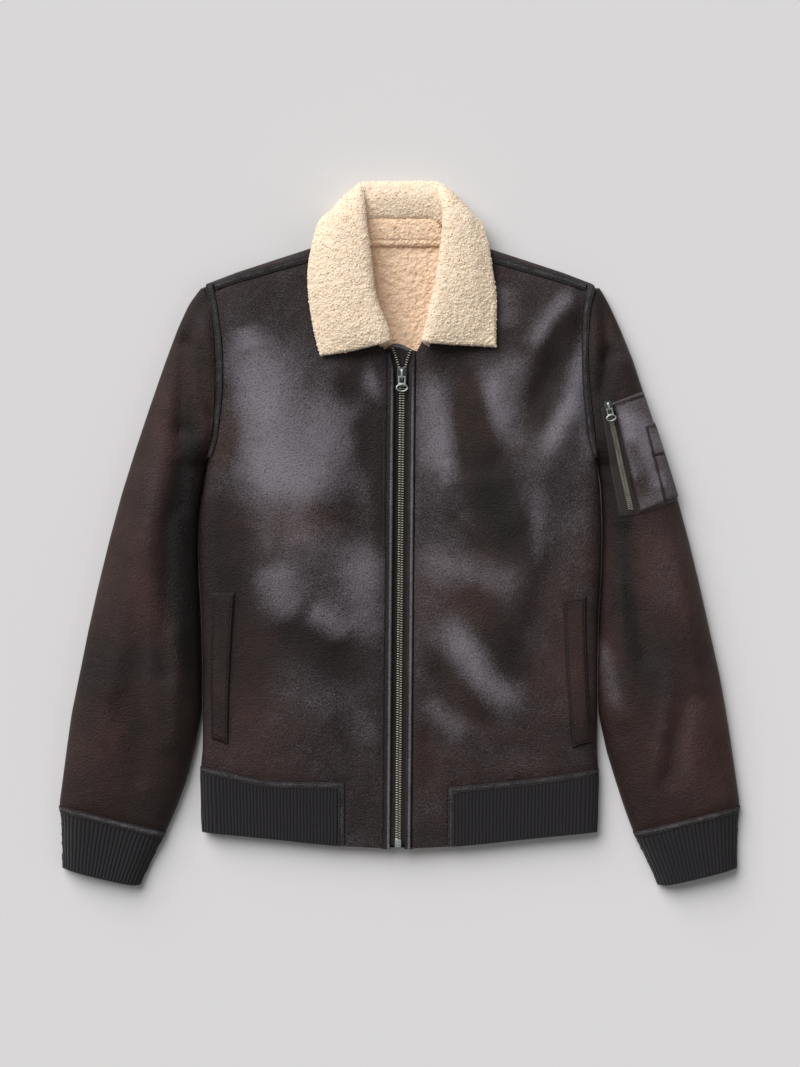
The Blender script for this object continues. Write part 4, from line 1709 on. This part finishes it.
def sleeve_edge(top_y, foot_y, inset=1.6):
    """The left sleeve's outer fold between two heights, moved in a little."""
    return between_heights(lambda y: outer_fold["left"](y) - inset, top_y, foot_y)


SEAM_IN = np.array([1.6, 0.0])        # from a pocket's inner side to its seam
PEN_RAISED = ON_SLEEVE + ARM_POCKET_THICKNESS + 0.1
pocket = straight(*ARM_POCKET_INNER), sleeve_edge(ARM_POCKET_TOP_Y[1], ARM_POCKET_FOOT_Y[1])
pocket_seam = [pocket[1](0.03), pocket[0](0.02) + SEAM_IN, pocket[0](0.98) + SEAM_IN, pocket[1](0.97)]
padded_patch("arm_pocket_leather", *pocket, (58.0, 130.0), left_top, ON_SLEEVE, ARM_POCKET_THICKNESS, SHELL,
             [(pocket_seam, 0.3)], wear=0.45, rubs=POCKET_RUBS)
pen = straight(*PEN_POCKET_INNER), sleeve_edge(127.5, ARM_POCKET_FOOT_Y[1] + 4.0, 2.0)
pen_seam = [pen[1](0.04), pen[0](0.03) + SEAM_IN, pen[0](1.0) + SEAM_IN]
divided = [pen[0](0.40), pen[1](0.42)]
padded_patch("pen_pocket_leather", *pen, (26.0, 88.0), left_top, PEN_RAISED, PEN_POCKET_THICKNESS, SHELL,
             [(divided, 0.7), (pen_seam, 0.3)], wear=0.4, rubs=POCKET_RUBS)
facing = straight(*ARM_FACING_INNER), straight(*[(x - 0.3, y) for x, y in ARM_POCKET_INNER])
padded_patch("arm_zip_facing_weave", *facing, (20.0, 126.0), left_top, ON_SLEEVE, ARM_FACING_THICKNESS,
             TAPE, edge=1.0)

# The small zip's teeth: the same trees, on the sleeve.
SMALL_TOOTH = 0.88
chain_start, chain_end = np.array(ARM_CHAIN[0]), np.array(ARM_CHAIN[1])
chain_way = (chain_end - chain_start) / np.linalg.norm(chain_end - chain_start)
chain_across = np.array([-chain_way[1], chain_way[0]])


def up_from(point, plan):
    """The way up from a shell at plan places."""
    x, y = plan[:, 0], plan[:, 1]
    a, b = point(x + 0.5, y) - point(x - 0.5, y), point(x, y + 0.5) - point(x, y - 0.5)
    normal = np.cross(a, b)
    return normal / np.linalg.norm(normal, axis=1, keepdims=True)


for side, sign in SIDES.items():
    plan = chain_end + (chain_start - chain_end) * shares(60)[:, None] + chain_across * (-sign * 1.5)
    if side == "left":
        plan = plan + chain_way * (-TOOTH_PITCH * SMALL_TOOTH / 2)
    base = left_top(plan[:, 0], plan[:, 1], -(ON_SLEEVE + ARM_FACING_THICKNESS + 1.4))
    made = lines_object(f"arm_zip_teeth_{side}", [base], [up_from(left_top, plan)])
    small = teeth[side].copy()
    small.data = teeth[side].data.copy()
    small.data.transform(Matrix.Scale(SMALL_TOOTH, 4))
    scene.collection.objects.link(small)
    grow(made, PIECES_ALONG, Pitch=TOOTH_PITCH * SMALL_TOOTH * MM, Piece=small, Finish=DARK_TEETH)
    bpy.data.objects.remove(small)

# %% [markdown]
# ## Sliders and pulls
# A slider is a plate with two flanges round the chain, a post at its top and a bridge over its middle.
# The pull hangs from a bar in the bridge: two arms, a waist and an oval ring. The pulls swing, so each one
# rides on its own body; the bar lies exactly on the hinge of the frame.

# %% Make the sliders and pulls
PLATE_TOP = 21.7
PIVOT_Y = 179.5
PULL_RAISED = 1.1         # from the slider's plate to the middle of the pull


def box(left, right, low, high):
    return [(left, low), (right, low), (right, high), (left, high)]


def slider(name, scale, turn, place, flanged):
    work = bmesh.new()
    half = [(4.3, -6.0), (4.9, -2.0), (5.6, 4.0), (5.6, 8.4), (4.0, 11.2), (1.2, 11.2)]
    body = [(-4.3, -6.0)] + half + [(0.0, 9.6)] + [(-x, y) for x, y in half[:0:-1]]
    bar_piece(work, rounded(body, 1.0, 3), -2.8, -1.15, 0.35)
    if flanged:
        for x in (-4.75, 4.75):
            bar_piece(work, rounded(box(x - 0.9, x + 0.9, -6.0, 3.6), 0.6, 3), -6.6, -1.6, 0.3)
        bar_piece(work, rounded(box(-0.7, 0.7, 9.0, 11.2), 0.3, 2), -6.6, -1.6, 0.15)
    outline = [(-3.4, -1.6), (-3.3, 0.2), (-2.6, 1.7), (-1.0, 2.35), (1.5, 2.5), (5.0, 2.5), (7.4, 2.3),
               (8.9, 1.5), (9.3, 0.0), (9.3, -1.6), (7.9, -1.6), (7.9, 0.2), (7.0, 1.15), (-1.2, 1.15),
               (-1.9, 0.2), (-2.0, -1.6)]
    arch = bmesh.new()
    bar_piece(arch, outline, -1.3, 1.3, 0.22)
    stood_up = Matrix(((0, 0, 1, 0), (1, 0, 0, 0), (0, 1, 0, 0), (0, 0, 0, 1)))   # x along the slider, y up
    bmesh.ops.transform(arch, verts=arch.verts, matrix=stood_up)
    set_down(f"{name}_arch", arch, SILVER, scale, turn, place)
    set_down(name, work, DARK_SILVER, scale, turn, place)


def pull(name, scale, turn, place):
    work = bmesh.new()
    swept_bar(work, [(x, 0.0, 0.0) for x in np.linspace(-4.2, 4.2, 6)], 0.78)
    for x in (-3.45, 3.45):
        swept_bar(work, [(x, y, 0.0) for y in np.linspace(0.3, -8.6, 8)], 0.98, flat_share=0.8)
    bar_piece(work, rounded([(-4.3, -7.0), (4.3, -7.0), (4.9, -9.6), (-4.9, -9.6)], 0.8, 4), -0.75, 0.75, 0.3)
    turns = np.linspace(0.0, 2 * math.pi, 48, endpoint=False)
    ring = [(6.15 * math.cos(a), -12.6 + 3.95 * math.sin(a), 0.0) for a in turns]
    swept_bar(work, ring, 1.02, closed=True, flat_share=0.85)
    return set_down(name, work, SILVER, scale, turn, place)


front_pivot = (float(chain_x(PIVOT_Y)), PIVOT_Y, PLATE_TOP + PULL_RAISED)
slider("zip_slider_metal", 1.0, 0.0, front_pivot, True)
front_tab = pull("zip_pull_metal", 1.0, 0.0, front_pivot)
arm_turn = math.atan2(chain_way[0], -chain_way[1])
sleeve_joint = next(j for j in frame["joints"] if j["child"] == "sleeve_pull")
arm_pivot = tuple(1000.0 * v for v in sleeve_joint["pos_m"])
slider("arm_zip_slider_metal", ARM_ZIP_SCALE, arm_turn, arm_pivot, False)
pull("arm_zip_pull_metal", ARM_ZIP_SCALE, arm_turn, arm_pivot)

work = bmesh.new()
foot_x = float(chain_x(-357.6))
stop = rounded(box(foot_x - 3.6, foot_x + 3.6, -362.6, -352.6), 0.9, 4)
bar_piece(work, stop, TAPE_BOTTOM + 2.1, TAPE_BOTTOM + 7.1, 0.5)
for y in (-360.4, -357.6, -354.8):
    swept_bar(work, [(x, y, TAPE_BOTTOM + 7.0) for x in np.linspace(foot_x - 3.0, foot_x + 3.0, 5)], 0.45)
set_down("zip_box_metal", work, SILVER)
print("pull is", [round(1000 * v, 1) for v in front_tab.dimensions], "mm")

# %% [markdown]
# ## Sewing
# Dark thread runs beside every seam: along both sides of each strip, down the rolled edges of the zip,
# round the welts and pockets, and across the leather tabs at the hem. A stitch is 2.7 mm long and sinks
# a little into the leather.

# %% Sew every seam
STITCH_PITCH = 3.3
STRIP_SEAM_HEIGHT = 0.86  # of a strip's own height
seams = {"body": [], "sleeves": []}


def sew(part, plan, point, depth=0.0):
    """Adds a seam in plan to one of the threads, lifted to the cloth's outer face less a depth."""
    line = point(plan[:, 0], plan[:, 1], np.full(len(plan), depth))
    seams[part].append((line, up_from(point, plan)))


for side, sign in SIDES.items():
    top, arm = body_top[side], sleeve_top[side]
    for share in (0.14, 0.86):
        for part, plan, point, proud in (
                ("body", shoulder_plans[side], top, 1.2), ("body", armhole_plans[side], top, 1.6),
                ("body", hem_plans[side][3:], top, 1.2), ("sleeves", cuff_plans[side][4:-4], arm, 1.4)):
            line = plan[:, 0] + (plan[:, -1] - plan[:, 0]) * share
            sew(part, line, point, -proud * STRIP_SEAM_HEIGHT)
    y = edge_plans[side][2:-2, 0, 1]
    beside = joined(chain_x(y) + sign * (ZIP_EDGE_REACH[side] + 2.6), y)
    sew("body", beside[y > HEM_STRIP_TOP_Y[side][1] - 70], top)
    near_zip = joined(chain_x(y) + sign * (ZIP_EDGE_REACH[side] - ZIP_EDGE_WIDTH * 0.82), y)
    sew("body", near_zip[y < 184.0], top, -1.35)
    depth = -WELT_THICKNESS * 0.94
    for share in (0.1, 0.9):
        sew("body", between_lines(welt_lines[side], np.linspace(0.012, 0.988, 60), share), top, depth)
    for v_end in (0.016, 0.984):
        sew("body", between_lines(welt_lines[side], v_end, np.linspace(0.1, 0.9, 8)), top, depth)
x = np.linspace(-55.0, -19.5, 14)
for side, stretch in (("right", 1.0), ("left", -0.88)):
    sew("body", joined(x * stretch, hem_y(x) + 4.6), body_top[side])
v = shares(40)
pocket_depth = -(ON_SLEEVE + ARM_POCKET_THICKNESS * 0.96)
pen_depth = -(PEN_RAISED + PEN_POCKET_THICKNESS * 0.96)
for share in (0.05, 0.10):
    sew("sleeves", between_lines(pocket, v * 0.96 + 0.02, share), left_top, pocket_depth)
for v_end in (0.02, 0.98):
    sew("sleeves", between_lines(pocket, v_end, np.linspace(0.05, 0.9, 12)), left_top, pocket_depth)
sew("sleeves", between_lines(pen, v * 0.95 + 0.02, 0.07), left_top, pen_depth)
for v_end, sunk in ((0.03, 0.0), (0.40, 0.9), (0.97, 0.0)):
    sew("sleeves", between_lines(pen, v_end, np.linspace(0.07, 0.85, 8)), left_top, pen_depth + sunk)
sew("sleeves", between_lines(facing, v * 0.96 + 0.02, 0.1), left_top, -(ON_SLEEVE + ARM_FACING_THICKNESS))
for part, rows in seams.items():
    made = lines_object(f"thread_{part}", [r[0] for r in rows], [r[1] for r in rows])
    grow(made, PIECES_ALONG, Pitch=STITCH_PITCH * MM, Piece=stitch, Finish=THREAD)
    print(part, "stitches:", len(made.data.polygons) // len(stitch.data.polygons))
for made in (*teeth.values(), stitch):
    bpy.data.objects.remove(made)


# %% [markdown]
# ## Curls that break the outline
# From the side, pile isn't smooth: small curls stand off it. The third tree scatters about five
# thousand of them over the collar, small enough to read as wool.

# %% Scatter the curls
work = bmesh.new()
bmesh.ops.create_icosphere(work, subdivisions=1, radius=0.5)
bmesh.ops.scale(work, verts=work.verts, vec=(2.4, 2.0, 1.5))
curl = template("curl", work)
for name, density, finish in (("pile_collar", 50000.0, PILE), ("pile_neck_band", 44000.0, LINING)):
    source = pieces[name].data.copy()
    made = linked(f"curls_{name}", source)
    grow(made, CURLS_ON_PILE, Density=density, Smallest=0.65, Largest=1.25, Piece=curl, Seed=11,
         Finish=finish)
    print(made.name, len(made.data.polygons))
bpy.data.objects.remove(curl)

# %% [markdown]
# ## What each piece stands for
# Every piece rides on a body of the frame and says which plain solid it replaces. Every sheet of cloth also
# says the rectangle it was cut from and its own flat area, in metres, and what it rests on. The jacket is
# laid out on the table, so its under pieces rest on that and the others rest on them.

# %% Bodies, slots and cuts
# A piece, its slot and its solid; for a sheet also width, length and area, and the sheet below.
SINGLE = [
    ("back_leather", "shell_leather", "back_panel", (0.5, 0.65, 0.279), "table_top"),
    ("waist_knit_back", "rib_knit", "waist_rib_back", (0.47, 0.095, 0.036), "table_top"),
    ("pile_collar", "pile", "collar", (0.42, 0.14, 0.05), "back_leather"),
    ("pile_neck_band", "pile", "neck_band", (0.125, 0.04, 0.0041), "pile_back_neck"),
    ("pile_back_neck", "pile", None, (0.13, 0.15, 0.017), "back_leather"),
    ("chin_guard_leather", "shell_leather", "chin_guard", (0.048, 0.086, 0.0034), "back_leather"),
    ("arm_pocket_leather", "shell_leather", "arm_pocket", (0.066, 0.142, 0.0069), "sleeve_leather_top_left"),
    ("pen_pocket_leather", "shell_leather", "pen_pocket", (0.034, 0.094, 0.0021), "arm_pocket_leather"),
    ("arm_zip_facing_weave", "zip_tape", "arm_zip_facing", (0.024, 0.132, 0.0024), "sleeve_leather_top_left"),
    ("curls_pile_collar", "pile", None),
    ("curls_pile_neck_band", "pile", None),
    ("zip_slider_metal", "zip_metal", "zip_slider"),
    ("zip_slider_metal_arch", "zip_metal", "zip_slider"),
    ("zip_pull_metal", "zip_metal", "zip_pull"),
    ("zip_box_metal", "zip_metal", "zip_box"),
    ("arm_zip_slider_metal", "zip_metal", "arm_zip_slider"),
    ("arm_zip_slider_metal_arch", "zip_metal", "arm_zip_slider"),
    ("arm_zip_pull_metal", "zip_metal", "arm_zip_pull"),
    ("thread_body", "shell_leather", None),
    ("thread_sleeves", "shell_leather", None),
]
PAIRED = [
    ("front_leather", "shell_leather", "front_*", (0.245, 0.7, 0.125), "back_leather"),
    ("sleeve_leather_under", "shell_leather", "sleeve_under_*", (0.215, 0.645, 0.065), "table_top"),
    ("sleeve_leather_top", "shell_leather", "sleeve_top_*", (0.225, 0.645, 0.073), "sleeve_leather_under_*"),
    ("cuff_knit_under", "rib_knit", "cuff_*", (0.122, 0.078, 0.0074), "table_top"),
    ("cuff_knit_top", "rib_knit", "cuff_*", (0.132, 0.078, 0.0082), "cuff_knit_under_*"),
    ("waist_knit", "rib_knit", "waist_rib_*", (0.185, 0.085, 0.0117), "waist_knit_back"),
    ("shoulder_strip_leather", "shell_leather", "shoulder_strip_*", (0.14, 0.012, 0.00155),
     "front_leather_*"),
    ("armhole_strip_leather", "shell_leather", "armhole_strip_*", (0.21, 0.013, 0.0024), "front_leather_*"),
    ("hem_strip_leather", "shell_leather", "hem_strip_*", (0.27, 0.012, 0.0028), "front_leather_*"),
    ("cuff_strip_leather", "shell_leather", "cuff_strip_*", (0.14, 0.0125, 0.0016), "cuff_knit_top_*"),
    ("zip_edge_leather", "shell_leather", "zip_edge_*", (0.015, 0.58, 0.0082), "zip_tape_weave_*"),
    ("zip_tape_weave", "zip_tape", "zip_tape_*", (0.0175, 0.59, 0.0097), "back_leather"),
    ("welt_leather", "shell_leather", "welt_*", (0.03, 0.18, 0.0044), "front_leather_*"),
    ("zip_teeth", "zip_metal", "zip_row_*"),
    ("arm_zip_teeth", "zip_metal", "arm_zip_row"),
]
MOVING = {"zip_pull_metal": "front_pull", "arm_zip_pull_metal": "sleeve_pull"}
table_of_pieces = {name: rest for name, *rest in SINGLE}
for side in SIDES:
    for name, *rest in PAIRED:
        rest = [entry.replace("*", side) if isinstance(entry, str) else entry for entry in rest]
        table_of_pieces[f"{name}_{side}"] = rest
for name, made in pieces.items():
    slot, node = table_of_pieces[name][:2]
    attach(made, MOVING.get(name, "jacket"))
    if node:
        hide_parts(node)
